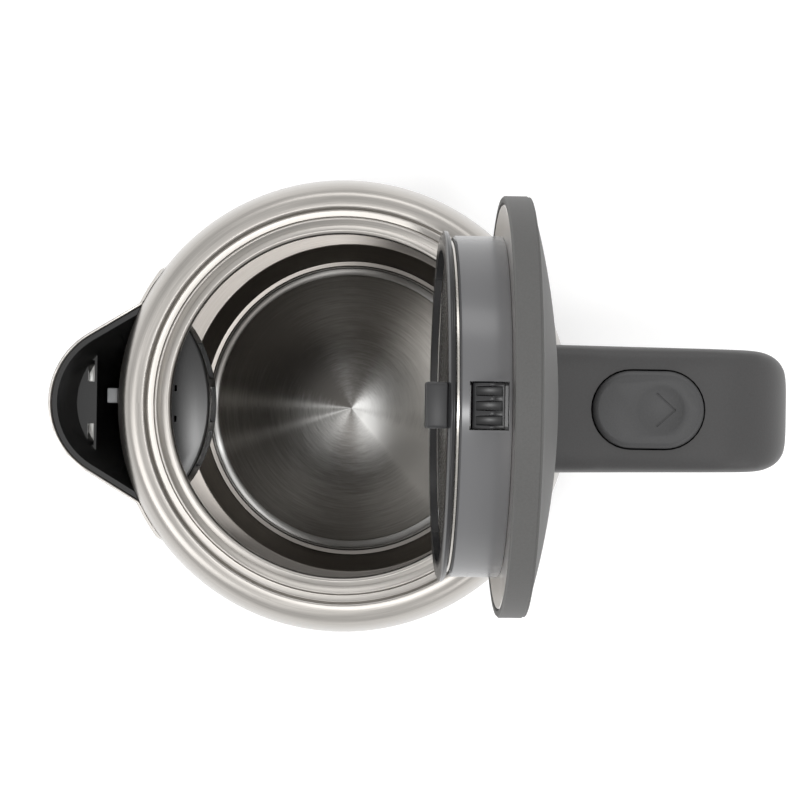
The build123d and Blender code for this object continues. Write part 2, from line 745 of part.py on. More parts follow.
with BuildPart() as lid_screws:
    with BuildSketch(lid_level(-0.1)):
        with PolarLocations(lid_screw_circle, 4, start_angle=45):
            Circle(1.15)
    extrude(amount=band_height)
    with BuildSketch(lid_level(0)):
        with PolarLocations(lid_screw_circle, 4, start_angle=45):
            Circle(2.6)
    extrude(amount=-1.5)
finish(lid_screws, "lid_screws")

# ================================================================ handle
bar_bottom = rim_height - handle_drop
grip_outer = handle_reach
grip_inner = handle_reach - grip_depth
loop_foot = wall_radius(bar_bottom) - 2.0
toe_rise = 6.0          # underside's height at the jug above its lowest point
toe_end = grip_outer - 26
screw_sink = 2.3        # screw heads' level below the sloping underside's own


def handle_side(inset=0.0):
    """Side view of the handle loop without its finger gap, drawn in the XZ plane."""
    with BuildSketch(Plane.XZ) as side:
        with BuildLine():
            FilletPolyline((hinge_reach, rim_height), (hinge_reach, handle_top),
                           (handle_reach - 6, handle_top - 2), (grip_outer + 1, rim_height - 46),
                           (grip_outer - 12, bar_bottom + 36), (toe_end, bar_bottom),
                           (loop_foot, bar_bottom + toe_rise), radius=[0, 0, 24, 40, 40, 12, 0], close=True)
        make_face()
        if inset:
            offset(amount=-inset, mode=Mode.REPLACE)
    return side.sketch


def finger_gap(grow=0.0):
    """Side view of the gap for the fingers, grown outwards, drawn in the XZ plane."""
    with BuildSketch(Plane.XZ) as gap:
        with BuildLine():
            FilletPolyline((shoulder_radius - 14, arm_bottom - 2), (grip_inner - 1, arm_bottom - 4),
                           (grip_inner, rim_height - 56), (grip_inner - 12, bar_bottom + 50),
                           (grip_inner - 22, bar_bottom + 24), (shoulder_radius - 14, bar_bottom + 28),
                           radius=[0, 20, 60, 60, 14, 0], close=True)
        make_face()
        if grow:
            offset(amount=grow, mode=Mode.REPLACE)
    return gap.sketch


def handle_plan(inset=0.0):
    """Plan of the handle: slightly tapered, with rounded outer corners."""
    root = hinge_reach - barrel_radius - 8
    with BuildSketch(Plane.XY.offset(bar_bottom - 10)) as plan:
        with BuildLine():
            Polyline((root, handle_half_width - inset), (handle_reach - inset, handle_end_half_width - inset),
                     (handle_reach - inset, inset - handle_end_half_width),
                     (root, inset - handle_half_width), close=True)
        make_face()
        fillet(plan.vertices().filter_by(lambda v: v.X > handle_reach - 10), handle_corner - inset)
    return plan.sketch


def handle_solid(inset=0.0):
    """Whole handle as a solid loop, moved inwards by inset."""
    with BuildPart() as solid:
        with BuildSketch(Plane.XZ):
            add(handle_side(inset))
            add(finger_gap(inset), mode=Mode.SUBTRACT)
        extrude(amount=handle_half_width + 5, both=True)
        with BuildSketch(Plane.XY.offset(bar_bottom - 10)):
            add(handle_plan(inset))
        extrude(amount=handle_top - bar_bottom + 30, mode=Mode.INTERSECT)
    return solid.part


def cover_band(growth, half_width):
    """Band of material round the finger gap, as deep as growth and centred on the handle."""
    with BuildPart() as band:
        with BuildSketch(Plane.XZ):
            add(finger_gap(growth))
        extrude(amount=half_width, both=True)
    return band.part


housing_bottom = rim_height + 0.3
housing_roof = 1.8
switch_pivot_x = handle_reach - 38.0
switch_pivot_z = bar_bottom + 13.0
switch_slot = switch_width + 2 * MOVING_GAP
slot_gap = ear_width + 2 * MOVING_GAP
cover_half_width = handle_half_width - 5.0
screw_place = loop_foot + 14.0
screw_spread = 13.5
toe_slope = toe_rise / (toe_end - loop_foot)
screw_seat = bar_bottom + toe_slope * (toe_end - screw_place) - screw_sink
with BuildPart() as handle_shell:
    add(handle_solid())
    with BuildSketch(Plane.XZ):
        with Locations((hinge_reach, hinge_height)):
            Circle(barrel_radius)
    extrude(amount=handle_half_width, both=True)
    with BuildSketch(Plane.XY.offset(handle_top)):
        with Locations((hinge_reach, 0)):
            Rectangle(4 * barrel_radius, 4 * barrel_radius)
    extrude(amount=2 * barrel_radius, mode=Mode.SUBTRACT)
    with BuildSketch(Plane.XY.offset(housing_bottom)):
        with Locations((crest_radius - 20, 0)):
            Rectangle(40, 4 * barrel_radius + 20)
    extrude(amount=-30, mode=Mode.SUBTRACT)
    add(handle_solid(handle_wall), mode=Mode.SUBTRACT)
    with BuildSketch(Plane.XY.offset(rim_height - 12)):
        with Locations((hinge_reach + 4.6, 0)):
            Rectangle(2 * barrel_radius + 4, 2 * (ear_place - ear_width / 2 - MOVING_GAP) + 0.3)
    extrude(amount=handle_top - housing_roof - rim_height + 12, mode=Mode.SUBTRACT)
    with BuildSketch(Plane.XY.offset(rim_height - 1)):
        with Locations((hinge_reach + ear_radius + 0.6 - 15, -ear_place),
                       (hinge_reach + ear_radius + 0.6 - 15, ear_place)):
            Rectangle(30, slot_gap)
    extrude(amount=20, mode=Mode.SUBTRACT)
    add(cover_band(grip_cover_thickness + FIT_GAP, cover_half_width + FIT_GAP), mode=Mode.SUBTRACT)
    with BuildSketch(Plane.XY.offset(handle_top + 2)):
        with Locations((button_place, 0)):
            SlotOverall(button_length + 2 * MOVING_GAP, button_width + 2 * MOVING_GAP)
    extrude(amount=-10, mode=Mode.SUBTRACT)
    with BuildSketch(Plane.XZ):
        with Locations((hinge_reach, hinge_height)):
            Circle(pin_radius + 0.02)
    extrude(amount=handle_half_width - 1.5, both=True, mode=Mode.SUBTRACT)
    with BuildSketch(Plane.XZ):
        with Locations((switch_pivot_x, switch_pivot_z)):
            Circle(switch_pin_radius + 0.02)
    extrude(amount=handle_end_half_width - 1.5, both=True, mode=Mode.SUBTRACT)
    with BuildSketch(Plane.XZ):
        with Locations((switch_pivot_x + 22, bar_bottom + 12)):
            Rectangle(36, 26)
    extrude(amount=switch_slot / 2, both=True, mode=Mode.SUBTRACT)
    with BuildSketch(Plane.XY.offset(bar_bottom - 5)):
        with Locations((screw_place, -screw_spread), (screw_place, screw_spread)):
            Circle(1.8)
    extrude(amount=12, mode=Mode.SUBTRACT)
    with BuildSketch(Plane.XY.offset(screw_seat)):
        with Locations((screw_place, -screw_spread), (screw_place, screw_spread)):
            Circle(3.2)
    extrude(amount=1.7, mode=Mode.SUBTRACT)
    add(jug_envelope, mode=Mode.SUBTRACT)
finish(handle_shell, "handle_shell")

with BuildPart() as handle_grip:
    add(cover_band(grip_cover_thickness, cover_half_width))
    add(cover_band(0, cover_half_width + 5), mode=Mode.SUBTRACT)
    add(handle_solid(), mode=Mode.INTERSECT)
    add(jug_envelope, mode=Mode.SUBTRACT)
finish(handle_grip, "handle_grip")

bracket_half = ear_place - ear_width / 2 - MOVING_GAP
bracket_back = hinge_reach + barrel_radius + 3
with BuildPart() as hinge_bracket:
    with BuildSketch(Plane.XZ) as side:
        with BuildLine():
            Polyline((hinge_reach - 5, housing_bottom + 0.4), (bracket_back, housing_bottom + 0.4),
                     (bracket_back, handle_top - housing_roof - FIT_GAP),
                     (hinge_reach - 5, handle_top - housing_roof - FIT_GAP), close=True)
        make_face()
        with Locations((hinge_reach, hinge_height)):
            Circle(pin_radius + 0.02, mode=Mode.SUBTRACT)
    extrude(amount=bracket_half, both=True)
    with BuildSketch(Plane.XZ):
        with Locations((hinge_reach, hinge_height)):
            Rectangle(12, 30)
    extrude(amount=bracket_half - 3, both=True, mode=Mode.SUBTRACT)
finish(hinge_bracket, "hinge_bracket")

with BuildPart() as hinge_pin:
    with BuildSketch(Plane.XZ):
        with Locations((hinge_reach, hinge_height)):
            Circle(pin_radius)
    extrude(amount=handle_half_width - 2, both=True)
finish(hinge_pin, "hinge_pin")


def coil(start, axis, radius, wire, turns, length):
    """Round-wire helical spring that starts at a point and runs along an axis."""
    side = Vector(0, 1, 0) if abs(Vector(axis).Y) < 0.5 else Vector(1, 0, 0)
    place = Plane(origin=start, x_dir=side, z_dir=axis)
    helix = Helix(pitch=length / turns, height=length, radius=radius)
    helix = helix.moved(place.location)
    with BuildPart() as spring:
        with BuildSketch(Plane(origin=helix @ 0, z_dir=helix % 0)):
            Circle(wire / 2)
        sweep(path=helix, is_frenet=True)
    return spring.part


spring_half = bracket_half - 4
with BuildPart() as hinge_spring:
    add(coil((hinge_reach, -spring_half, hinge_height), (0, 1, 0), pin_radius + 1.2, 1.0, 7,
             2 * spring_half))
finish(hinge_spring, "hinge_spring")

# ================================================================ release button and push rod
button_top = handle_top + button_stand - 0.9
button_bottom = button_top - button_height
dish_radius = 30.0
dish_depth = 1.1
dish_place = button_place + button_length / 2 - button_width / 2 - 1.5
with BuildPart() as release_button:
    with BuildSketch(Plane.XY.offset(button_bottom)) as outline:
        with Locations((button_place, 0)):
            SlotOverall(button_length, button_width)
    extrude(amount=button_height)
    chamfer(release_button.faces().sort_by(Axis.Z)[-1].edges(), 1.6)
    with BuildSketch(Plane.XY.offset(button_bottom)):
        with Locations((button_place, 0)):
            SlotOverall(button_length - 5, button_width - 5)
    extrude(amount=button_height - 3.2, mode=Mode.SUBTRACT)
    with BuildSketch(Plane.XY.offset(button_bottom - 1)):
        with Locations((button_place - 8, 0)):
            Rectangle(3, 6)
    extrude(amount=button_height - 2)
    with Locations((dish_place, 0, button_top + dish_radius - dish_depth)):
        Sphere(dish_radius, mode=Mode.SUBTRACT)
finish(release_button, "release_button")

rod_top = button_bottom - 1 - button_travel - 0.8
rod_start = bracket_back + button_travel + 1.0
with BuildPart() as push_rod:
    with BuildSketch(Plane.XY.offset(rod_top)):
        with Locations(((rod_start + button_place) / 2, 0)):
            Rectangle(button_place - rod_start, rod_width)
    extrude(amount=-rod_height)
    fillet(push_rod.edges().filter_by(Axis.Z), 1.0)
finish(push_rod, "push_rod")

spring_foot = arm_bottom + grip_cover_thickness + 1.0
with BuildPart() as button_spring:
    add(coil((button_place + 8, 0, spring_foot), (0, 0, 1), 3.4, 0.9, 6,
             button_top - 3.2 - spring_foot - 1.0))
finish(button_spring, "button_spring")

# ================================================================ switch
with BuildPart() as power_switch:
    with BuildSketch(Plane.XZ) as side:
        with Locations((switch_pivot_x, switch_pivot_z)):
            Circle(4.0)
        with BuildLine():
            Polyline((switch_pivot_x - 2, switch_pivot_z - 4), (switch_pivot_x + 27, switch_pivot_z + 0.5),
                     (switch_pivot_x + 27, switch_pivot_z + 4), (switch_pivot_x - 1, switch_pivot_z + 4),
                     close=True)
        make_face()
        with Locations((switch_pivot_x, switch_pivot_z)):
            Circle(switch_pin_radius + RUNNING_GAP, mode=Mode.SUBTRACT)
    extrude(amount=switch_width / 2 - 1, both=True)
finish(power_switch, "power_switch")

with BuildPart() as switch_pin:
    with BuildSketch(Plane.XZ):
        with Locations((switch_pivot_x, switch_pivot_z)):
            Circle(switch_pin_radius)
    extrude(amount=handle_end_half_width - 2, both=True)
finish(switch_pin, "switch_pin")

with BuildPart() as handle_screws:
    screw_spots = Locations((screw_place, -screw_spread), (screw_place, screw_spread))
    with BuildSketch(Plane.XY.offset(screw_seat)):
        with screw_spots:
            Circle(3.0)
            RegularPolygon(1.2, 6, mode=Mode.SUBTRACT)
    extrude(amount=1.6)
    with BuildSketch(Plane.XY.offset(screw_seat + 1.0)):
        with screw_spots:
            Circle(1.6)
    extrude(amount=10)
finish(handle_screws, "handle_screws")
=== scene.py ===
"""Looks of a cordless steel kettle with its lid open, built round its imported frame."""
import logging
from dataclasses import dataclass, field
from enum import Enum
from math import asin, cos, pi, radians, sin, sqrt, tan
from typing import Any, Callable, Sequence

import bpy
from mathutils import Matrix, Vector


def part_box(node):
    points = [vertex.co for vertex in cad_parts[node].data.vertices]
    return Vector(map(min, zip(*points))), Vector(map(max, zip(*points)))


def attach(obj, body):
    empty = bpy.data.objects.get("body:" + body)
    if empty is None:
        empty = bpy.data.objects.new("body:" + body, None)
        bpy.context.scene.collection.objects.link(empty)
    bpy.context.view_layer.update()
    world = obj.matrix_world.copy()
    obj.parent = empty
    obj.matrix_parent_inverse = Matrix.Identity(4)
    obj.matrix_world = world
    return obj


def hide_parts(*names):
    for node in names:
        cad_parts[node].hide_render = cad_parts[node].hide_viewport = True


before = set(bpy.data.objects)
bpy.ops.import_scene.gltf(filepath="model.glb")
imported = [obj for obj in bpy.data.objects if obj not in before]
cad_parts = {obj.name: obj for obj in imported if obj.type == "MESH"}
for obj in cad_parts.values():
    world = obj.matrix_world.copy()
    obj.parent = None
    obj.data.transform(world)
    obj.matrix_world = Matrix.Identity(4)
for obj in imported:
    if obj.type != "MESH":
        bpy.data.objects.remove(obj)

LOG = logging.getLogger("kettle")
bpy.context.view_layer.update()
MM = 0.001
Point = tuple[float, float]


# ---------------------------------------------------------------- shader maths
class Sock:
    """A shader socket that takes part in Python arithmetic."""

    def __init__(self, paint: "Paint", socket: Any) -> None:
        """Wrap a socket of the material that paint is making."""
        self.paint = paint
        self.socket = socket

    def _math(self, operation: str, *values: Any) -> "Sock":
        """Add one Math node that works on values."""
        return self.paint.add("ShaderNodeMath", {"operation": operation}, dict(enumerate(values)))

    def __add__(self, other: Any) -> "Sock":
        """Sum."""
        return self._math("ADD", self, other)

    def __sub__(self, other: Any) -> "Sock":
        """Difference."""
        return self._math("SUBTRACT", self, other)

    def __rsub__(self, other: Any) -> "Sock":
        """Difference from a number."""
        return self._math("SUBTRACT", other, self)

    def __mul__(self, other: Any) -> "Sock":
        """Product."""
        return self._math("MULTIPLY", self, other)

    def __truediv__(self, other: Any) -> "Sock":
        """Quotient."""
        return self._math("DIVIDE", self, other)

    __radd__ = __add__
    __rmul__ = __mul__

    def root(self) -> "Sock":
        """Square root."""
        return self._math("SQRT", self)

    def turn(self, other: "Sock") -> "Sock":
        """Angle of the point (other, self)."""
        return self._math("ARCTAN2", self, other)

    def ray(self, degrees: float, power: float) -> "Sock":
        """1 where this angle points at a bearing, falling off round it."""
        near = self._math("COSINE", self._math("SUBTRACT", self, radians(degrees)))
        return self._math("POWER", self._math("MAXIMUM", near, 0.0), power)

    def within(self, low: float, high: float) -> "Sock":
        """Smooth step from 0 at low to 1 at high."""
        return self.paint.add("ShaderNodeMapRange", {"interpolation_type": "SMOOTHSTEP"},
                              {0: self, 1: low, 2: high})


class Paint:
    """A material in the making."""

    def __init__(self, name: str) -> None:
        """Start an empty node material."""
        self.material = bpy.data.materials.new(name)
        self.material.use_nodes = True
        self.tree = self.material.node_tree
        self.shader = next(n for n in self.tree.nodes if n.type == "BSDF_PRINCIPLED")

    def add(self, kind: str, settings: dict[str, Any], values: dict[Any, Any], out: Any = 0) -> Sock:
        """Add a node.

        Args:
            kind: The node's type name.
            settings: Its properties, set before its sockets.
            values: Numbers, vectors or Socks for its input sockets.
            out: The output socket to hand back.

        Returns:
            The chosen output.
        """
        node = self.tree.nodes.new(kind)
        for name, value in settings.items():
            if name == "stops":
                self._stops(node, value)
            else:
                setattr(node, name, value)
        for name, value in values.items():
            self.feed(node.inputs[name], value)
        return Sock(self, node.outputs[out])

    def feed(self, socket: Any, value: Any) -> None:
        """Link a Sock to a socket, or set a plain value on it."""
        if isinstance(value, Sock):
            self.tree.links.new(value.socket, socket)
        else:
            socket.default_value = value

    @staticmethod
    def _stops(node: Any, stops: Sequence[tuple[float, float]]) -> None:
        """Give a colour ramp its grey stops."""
        ramp = node.color_ramp
        while len(ramp.elements) < len(stops):
            ramp.elements.new(0.5)
        for element, (place, value) in zip(ramp.elements, stops):
            element.position = place
            element.color = (value, value, value, 1)

    def set(self, **values: Any) -> None:
        """Set or link the shader's sockets, named with underscores for spaces."""
        for name, value in values.items():
            self.feed(self.shader.inputs[name.replace("_", " ")], value)

    def place(self, centre: Vector = Vector(), turn: tuple[float, float, float] = (0, 0, 0)) -> Sock:
        """Object coordinates in metres, about a centre and turned."""
        here = self.add("ShaderNodeTexCoord", {}, {}, "Object")
        return self.add("ShaderNodeMapping", {"vector_type": "TEXTURE"},
                        {"Vector": here, "Location": centre, "Rotation": turn})

    def noise(self, vector: Sock, scale: float, detail: float = 2.0, roughness: float = 0.5,
              dims: str = "3D") -> Sock:
        """Noise between 0 and 1."""
        slot_name = "W" if dims == "1D" else "Vector"
        return self.add("ShaderNodeTexNoise", {"noise_dimensions": dims},
                        {slot_name: vector, "Scale": scale, "Detail": detail, "Roughness": roughness})

    def split(self, vector: Sock) -> tuple[Sock, Sock, Sock]:
        """The three parts of a vector."""
        node = self.tree.nodes.new("ShaderNodeSeparateXYZ")
        self.feed(node.inputs[0], vector)
        return tuple(Sock(self, out) for out in node.outputs)

    def join(self, x: Any, y: Any, z: Any) -> Sock:
        """A vector of three parts."""
        return self.add("ShaderNodeCombineXYZ", {}, {0: x, 1: y, 2: z})

    def mix(self, factor: Any, low: Sequence[float], high: Sequence[float]) -> Sock:
        """Colour between low and high."""
        return self.add("ShaderNodeMix", {"data_type": "RGBA"},
                        {0: factor, 6: (*low, 1) if not isinstance(low, Sock) else low,
                         7: (*high, 1) if not isinstance(high, Sock) else high}, 2)

    def bump(self, height: Sock, depth: float, strength: float = 1.0) -> Sock:
        """Normal from a height, in metres deep."""
        return self.add("ShaderNodeBump", {}, {"Height": height, "Distance": depth, "Strength": strength})


# ---------------------------------------------------------------- finishes
@dataclass(frozen=True)
class BrushedSteel:
    """Stainless steel brushed in circles round an axis, with any painted sunburst rays in its colour: painted
    highlights and painted dark reflections.
    """

    name: str
    tint: tuple[float, float, float] = (0.60, 0.575, 0.545)
    roughness: float = 0.30
    grain: float = 2600.0
    depth: float = 0.000012
    anisotropy: float = 0.75
    contrast: tuple[float, float] = (0.55, 1.25)
    # Bearing, sharpness and gain of each painted sunburst ray: positive gains paint highlights, negative gains
    # paint dark reflection sectors into the colour.
    painted_sunburst_rays: tuple[tuple[float, float, float], ...] = ()
    centre: tuple[float, float, float] = (0.0, 0.0, 0.0)
    turn: tuple[float, float, float] = (0.0, 0.0, 0.0)

    def make(self) -> bpy.types.Material:
        """Build the material."""
        paint = Paint(self.name)
        place = paint.place(Vector(self.centre), self.turn)
        x, y, z = paint.split(place)
        radius = (x * x + y * y).root()
        angle = y.turn(x)
        rings = paint.noise(paint.join(radius * self.grain, angle * 3.0, z * self.grain), 1.0, 3.0, 0.6)
        soft = paint.noise(place, 38.0, 3.0)
        shade = rings * 0.34 + soft * 0.10 + 0.68
        # Painted sunburst: each ray lightens or darkens the colour at a fixed bearing round the axis, standing
        # in for reflections of the lamps.
        for bearing, power, gain in self.painted_sunburst_rays:
            shade = shade + angle.ray(bearing, power) * gain
        dark = tuple(channel * self.contrast[0] for channel in self.tint)
        light = tuple(min(channel * self.contrast[1], 1.0) for channel in self.tint)
        paint.set(Base_Color=paint.mix(shade.within(0.45, 1.35), dark, light), Metallic=1.0,
                  Roughness=rings * 0.14 + self.roughness - 0.05,
                  Anisotropic=self.anisotropy, Normal=paint.bump(rings, self.depth))
        return paint.material


@dataclass(frozen=True)
class MattPlastic:
    """Soft-touch moulding with a very fine speckle."""

    name: str
    colour: tuple[float, float, float]
    roughness: float = 0.52
    speckle: float = 1500.0
    depth: float = 0.00003

    def make(self) -> bpy.types.Material:
        """Build the material."""
        paint = Paint(self.name)
        place = paint.place()
        fine = paint.noise(place, self.speckle, 2.0, 0.7)
        broad = paint.noise(place, 22.0, 3.0)
        low = tuple(channel * 0.70 for channel in self.colour)
        high = tuple(channel * 1.30 for channel in self.colour)
        paint.set(Base_Color=paint.mix(fine * 0.6 + broad * 0.4, low, high),
                  Roughness=fine * 0.08 + broad * 0.06 + self.roughness - 0.07,
                  Specular_IOR_Level=0.42, Normal=paint.bump(fine, self.depth))
        return paint.material


@dataclass(frozen=True)
class GlossPlastic:
    """Polished or satin moulding with faint ripples and a fine smear in its tone and gloss."""

    name: str
    colour: tuple[float, float, float]
    roughness: float = 0.12
    ripple: float = 0.00004
    shine: float = 0.5

    def make(self) -> bpy.types.Material:
        """Build the material."""
        paint = Paint(self.name)
        place = paint.place()
        broad = paint.noise(place, 45.0, 2.0)
        smear = paint.noise(place, 160.0, 4.0, 0.6)
        low = tuple(channel * 0.85 for channel in self.colour)
        high = tuple(channel * 1.2 for channel in self.colour)
        paint.set(Base_Color=paint.mix(smear, low, high), Roughness=smear * 0.10 + self.roughness - 0.03,
                  Specular_IOR_Level=self.shine, Normal=paint.bump(broad, self.ripple))
        return paint.material


@dataclass(frozen=True)
class PlainMetal:
    """Small plated, cast or stamped metal part."""

    name: str
    tint: tuple[float, float, float]
    roughness: float = 0.35

    def make(self) -> bpy.types.Material:
        """Build the material."""
        paint = Paint(self.name)
        place = paint.place()
        grain = paint.noise(place, 900.0, 3.0, 0.6)
        blotch = paint.noise(place, 90.0, 3.0)
        low = tuple(channel * 0.7 for channel in self.tint)
        paint.set(Base_Color=paint.mix(blotch, low, self.tint), Metallic=1.0,
                  Roughness=grain * 0.2 + self.roughness - 0.1, Normal=paint.bump(grain, 0.00002))
        return paint.material


@dataclass(frozen=True)
class WovenMesh:
    """Fine woven steel mesh, its holes cut by alpha."""

    name: str
    pitch: float = 0.0007

    def make(self) -> bpy.types.Material:
        """Build the material."""
        paint = Paint(self.name)
        place = paint.place()
        x, y, z = paint.split(place)
        waves = [self._wire(paint, part) for part in (y, z)]
        wires = paint.add("ShaderNodeMath", {"operation": "MAXIMUM"}, {0: waves[0], 1: waves[1]})
        paint.set(Base_Color=paint.mix(wires, (0.10, 0.095, 0.09), (0.62, 0.60, 0.57)), Metallic=1.0,
                  Roughness=0.34, Alpha=wires.within(0.45, 0.62), Normal=paint.bump(wires, 0.0001))
        return paint.material

    def _wire(self, paint: Paint, along: Sock) -> Sock:
        """Height of the wires that cross one direction."""
        wave = paint.add("ShaderNodeMath", {"operation": "COSINE"}, {0: along * (2 * pi / self.pitch)})
        return wave * 0.5 + 0.5


class Finish(Enum):
    """Every finish on the kettle."""

    SHELL = BrushedSteel("brushed_shell", tint=(0.43, 0.41, 0.385), roughness=0.33, anisotropy=0.6,
                         contrast=(0.45, 1.35))
    SPOUT = BrushedSteel("brushed_spout", tint=(0.50, 0.48, 0.455), roughness=0.33, anisotropy=0.2)
    # The heating plate's colour carries a painted sunburst: positive rays are painted highlights, negative rays
    # painted dark reflections.
    PLATE = BrushedSteel("brushed_plate_painted_sunburst", tint=(0.74, 0.70, 0.655), roughness=0.36, grain=1500.0,
                         depth=0.00002, anisotropy=0.9, contrast=(0.25, 1.5),
                         painted_sunburst_rays=((-38, 90, 1.0), (-28, 10, 0.35), (12, 7, 0.3), (177, 260, 0.3),
                                  (197, 400, 0.25), (-95, 10, -0.3), (142, 4, -0.45), (75, 12, -0.3),
                                  (-150, 8, -0.1), (-12, 60, -0.2)))
    PAN = BrushedSteel("brushed_pan", tint=(0.36, 0.335, 0.31), roughness=0.30, anisotropy=0.5)
    LID_STEEL = BrushedSteel("lid_steel", tint=(0.50, 0.48, 0.45), roughness=0.24, anisotropy=0.3)
    SOFT = MattPlastic("soft_touch", (0.078, 0.077, 0.075), roughness=0.6)
    GRIP = MattPlastic("soft_touch_grip", (0.046, 0.045, 0.045), roughness=0.5)
    BUTTON = MattPlastic("button_touch", (0.052, 0.052, 0.053), roughness=0.46)
    SATIN = GlossPlastic("satin_grey", (0.085, 0.085, 0.085), roughness=0.2)
    TAB = GlossPlastic("tab_grey", (0.022, 0.022, 0.023), roughness=0.35, shine=0.35)
    FLANGE = BrushedSteel("brushed_flange", tint=(0.62, 0.60, 0.575), roughness=0.34, anisotropy=0.3)
    BLACK = GlossPlastic("gloss_black", (0.006, 0.006, 0.0065), roughness=0.13, shine=0.28)
    LATCH = GlossPlastic("latch_black", (0.012, 0.012, 0.013), roughness=0.3)
    CLIP = GlossPlastic("clip_grey", (0.22, 0.225, 0.23), roughness=0.3)
    SEAL = GlossPlastic("seal_dark", (0.018, 0.018, 0.019), roughness=0.22, shine=0.35)
    RUBBER = MattPlastic("rubber", (0.018, 0.018, 0.019), roughness=0.7, speckle=700.0)
    BRASS = PlainMetal("brass", (0.72, 0.53, 0.24), 0.3)
    ALUMINIUM = PlainMetal("aluminium", (0.72, 0.72, 0.73), 0.42)
    SCREW = PlainMetal("zinc_plate", (0.56, 0.56, 0.57), 0.3)
    MESH = WovenMesh("woven_mesh")

    def material(self) -> bpy.types.Material:
        """The finish's material, made on first use."""
        return bpy.data.materials.get(self.value.name) or self.value.make()


# ---------------------------------------------------------------- modelling
@dataclass(frozen=True)
class Seat:
    """A place to turn or build a piece: an origin, a direction outwards and an axis."""

    origin: Vector = Vector((0, 0, 0))
    side: Vector = Vector((1, 0, 0))
    axis: Vector = Vector((0, 0, 1))

    def at(self, reach: float, height: float, across: float = 0.0) -> Vector:
        """Point at a reach, a height along the axis and a distance across."""
        return (self.origin + self.side * reach + self.axis * height
                + self.axis.cross(self.side) * across)

    def matrix(self) -> Matrix:
        """Matrix that takes the world's axes to this seat's."""
        turn = Matrix((self.side, self.axis.cross(self.side), self.axis)).transposed().to_4x4()
        return Matrix.Translation(self.origin) @ turn


def clear_selection() -> None:
    """Leave object mode with nothing selected."""
    if bpy.context.object and bpy.context.object.mode != "OBJECT":
        bpy.ops.object.mode_set(mode="OBJECT")
    bpy.ops.object.select_all(action="DESELECT")


def start(add: Callable[..., Any], name: str, **sizes: Any) -> bpy.types.Object:
    """Add a primitive with an operator and name it."""
    clear_selection()
    add(**sizes)
    piece = bpy.context.object
    piece.name = name
    piece.data.name = name
    return piece


def bake(piece: bpy.types.Object) -> None:
    """Apply the piece's place, turn and size to its mesh."""
    clear_selection()
    piece.select_set(True)
    bpy.context.view_layer.objects.active = piece
    bpy.ops.object.transform_apply(location=True, rotation=True, scale=True)


def modify(piece: bpy.types.Object, kind: str, **settings: Any) -> None:
    """Add a modifier with these settings and apply it."""
    clear_selection()
    piece.select_set(True)
    bpy.context.view_layer.objects.active = piece
    modifier = piece.modifiers.new(kind.lower(), kind)
    for name, value in settings.items():
        setattr(modifier, name, value)
    bpy.ops.object.modifier_apply(modifier=modifier.name)


def soften(piece: bpy.types.Object, width: float, segments: int = 3, angle: float = 30.0) -> None:
    """Round a piece's sharp edges."""
    modify(piece, "BEVEL", width=width, segments=segments, limit_method="ANGLE",
           angle_limit=radians(angle), harden_normals=False)


def smooth(piece: bpy.types.Object, angle: float = 35.0) -> None:
    """Shade smooth, with sharper edges kept."""
    clear_selection()
    piece.select_set(True)
    bpy.context.view_layer.objects.active = piece
    bpy.ops.object.shade_smooth_by_angle(angle=radians(angle))


def line_up(name: str, points: Sequence[Vector], closed: bool) -> bpy.types.Object:
    """Draw a line of points by extruding one vertex, and stay in edit mode."""
    piece = start(bpy.ops.mesh.primitive_plane_add, name, size=MM)
    bpy.ops.object.mode_set(mode="EDIT")
    bpy.ops.mesh.select_all(action="SELECT")
    bpy.ops.mesh.merge(type="CENTER")
    bpy.ops.transform.translate(value=points[0])
    for before, after in zip(points, points[1:]):
        bpy.ops.mesh.extrude_vertices_move(TRANSFORM_OT_translate={"value": after - before})
    if closed:
        bpy.ops.mesh.select_all(action="SELECT")
        bpy.ops.mesh.edge_face_add()
        bpy.ops.mesh.delete(type="ONLY_FACE")
    bpy.ops.mesh.select_all(action="SELECT")
    return piece


def turned(name: str, outline: Sequence[Point], seat: Seat, steps: int = 144,
           closed: bool = True) -> bpy.types.Object:
    """Turn an outline of reaches and heights into a round piece.

    Args:
        name: The piece's name.
        outline: Points of the section, each a reach and a height.
        seat: The axis it is turned about.
        steps: Number of faces round the axis.
        closed: Whether the outline's ends meet.

    Returns:
        The finished object, shaded smooth.
    """
    piece = line_up(name, [seat.at(reach, height) for reach, height in outline], closed)
    bpy.ops.mesh.spin(steps=steps, angle=2 * pi, center=seat.origin, axis=seat.axis)
    bpy.ops.mesh.select_all(action="SELECT")
    bpy.ops.mesh.remove_doubles(threshold=0.000005)
    bpy.ops.mesh.normals_make_consistent(inside=False)
    bpy.ops.object.mode_set(mode="OBJECT")
    smooth(piece)
    return piece


def arc(centre: Point, radius: float, first: float, last: float, count: int = 6) -> list[Point]:
    """Points on an arc, with its angles in degrees."""
    return [(centre[0] + radius * cos(radians(first + (last - first) * i / count)),
             centre[1] + radius * sin(radians(first + (last - first) * i / count)))
            for i in range(count + 1)]


def box_piece(name: str, low: Vector, high: Vector) -> bpy.types.Object:
    """A block between two corners, with its place in its mesh."""
    piece = start(bpy.ops.mesh.primitive_cube_add, name, size=1.0, location=(low + high) / 2)
    piece.scale = high - low
    bake(piece)
    return piece


def carve(piece: bpy.types.Object, cutter: bpy.types.Object, operation: str = "DIFFERENCE") -> None:
    """Cut one closed piece with another, which is then gone."""
    modify(piece, "BOOLEAN", object=cutter, operation=operation, solver="EXACT")
    bpy.data.objects.remove(cutter)


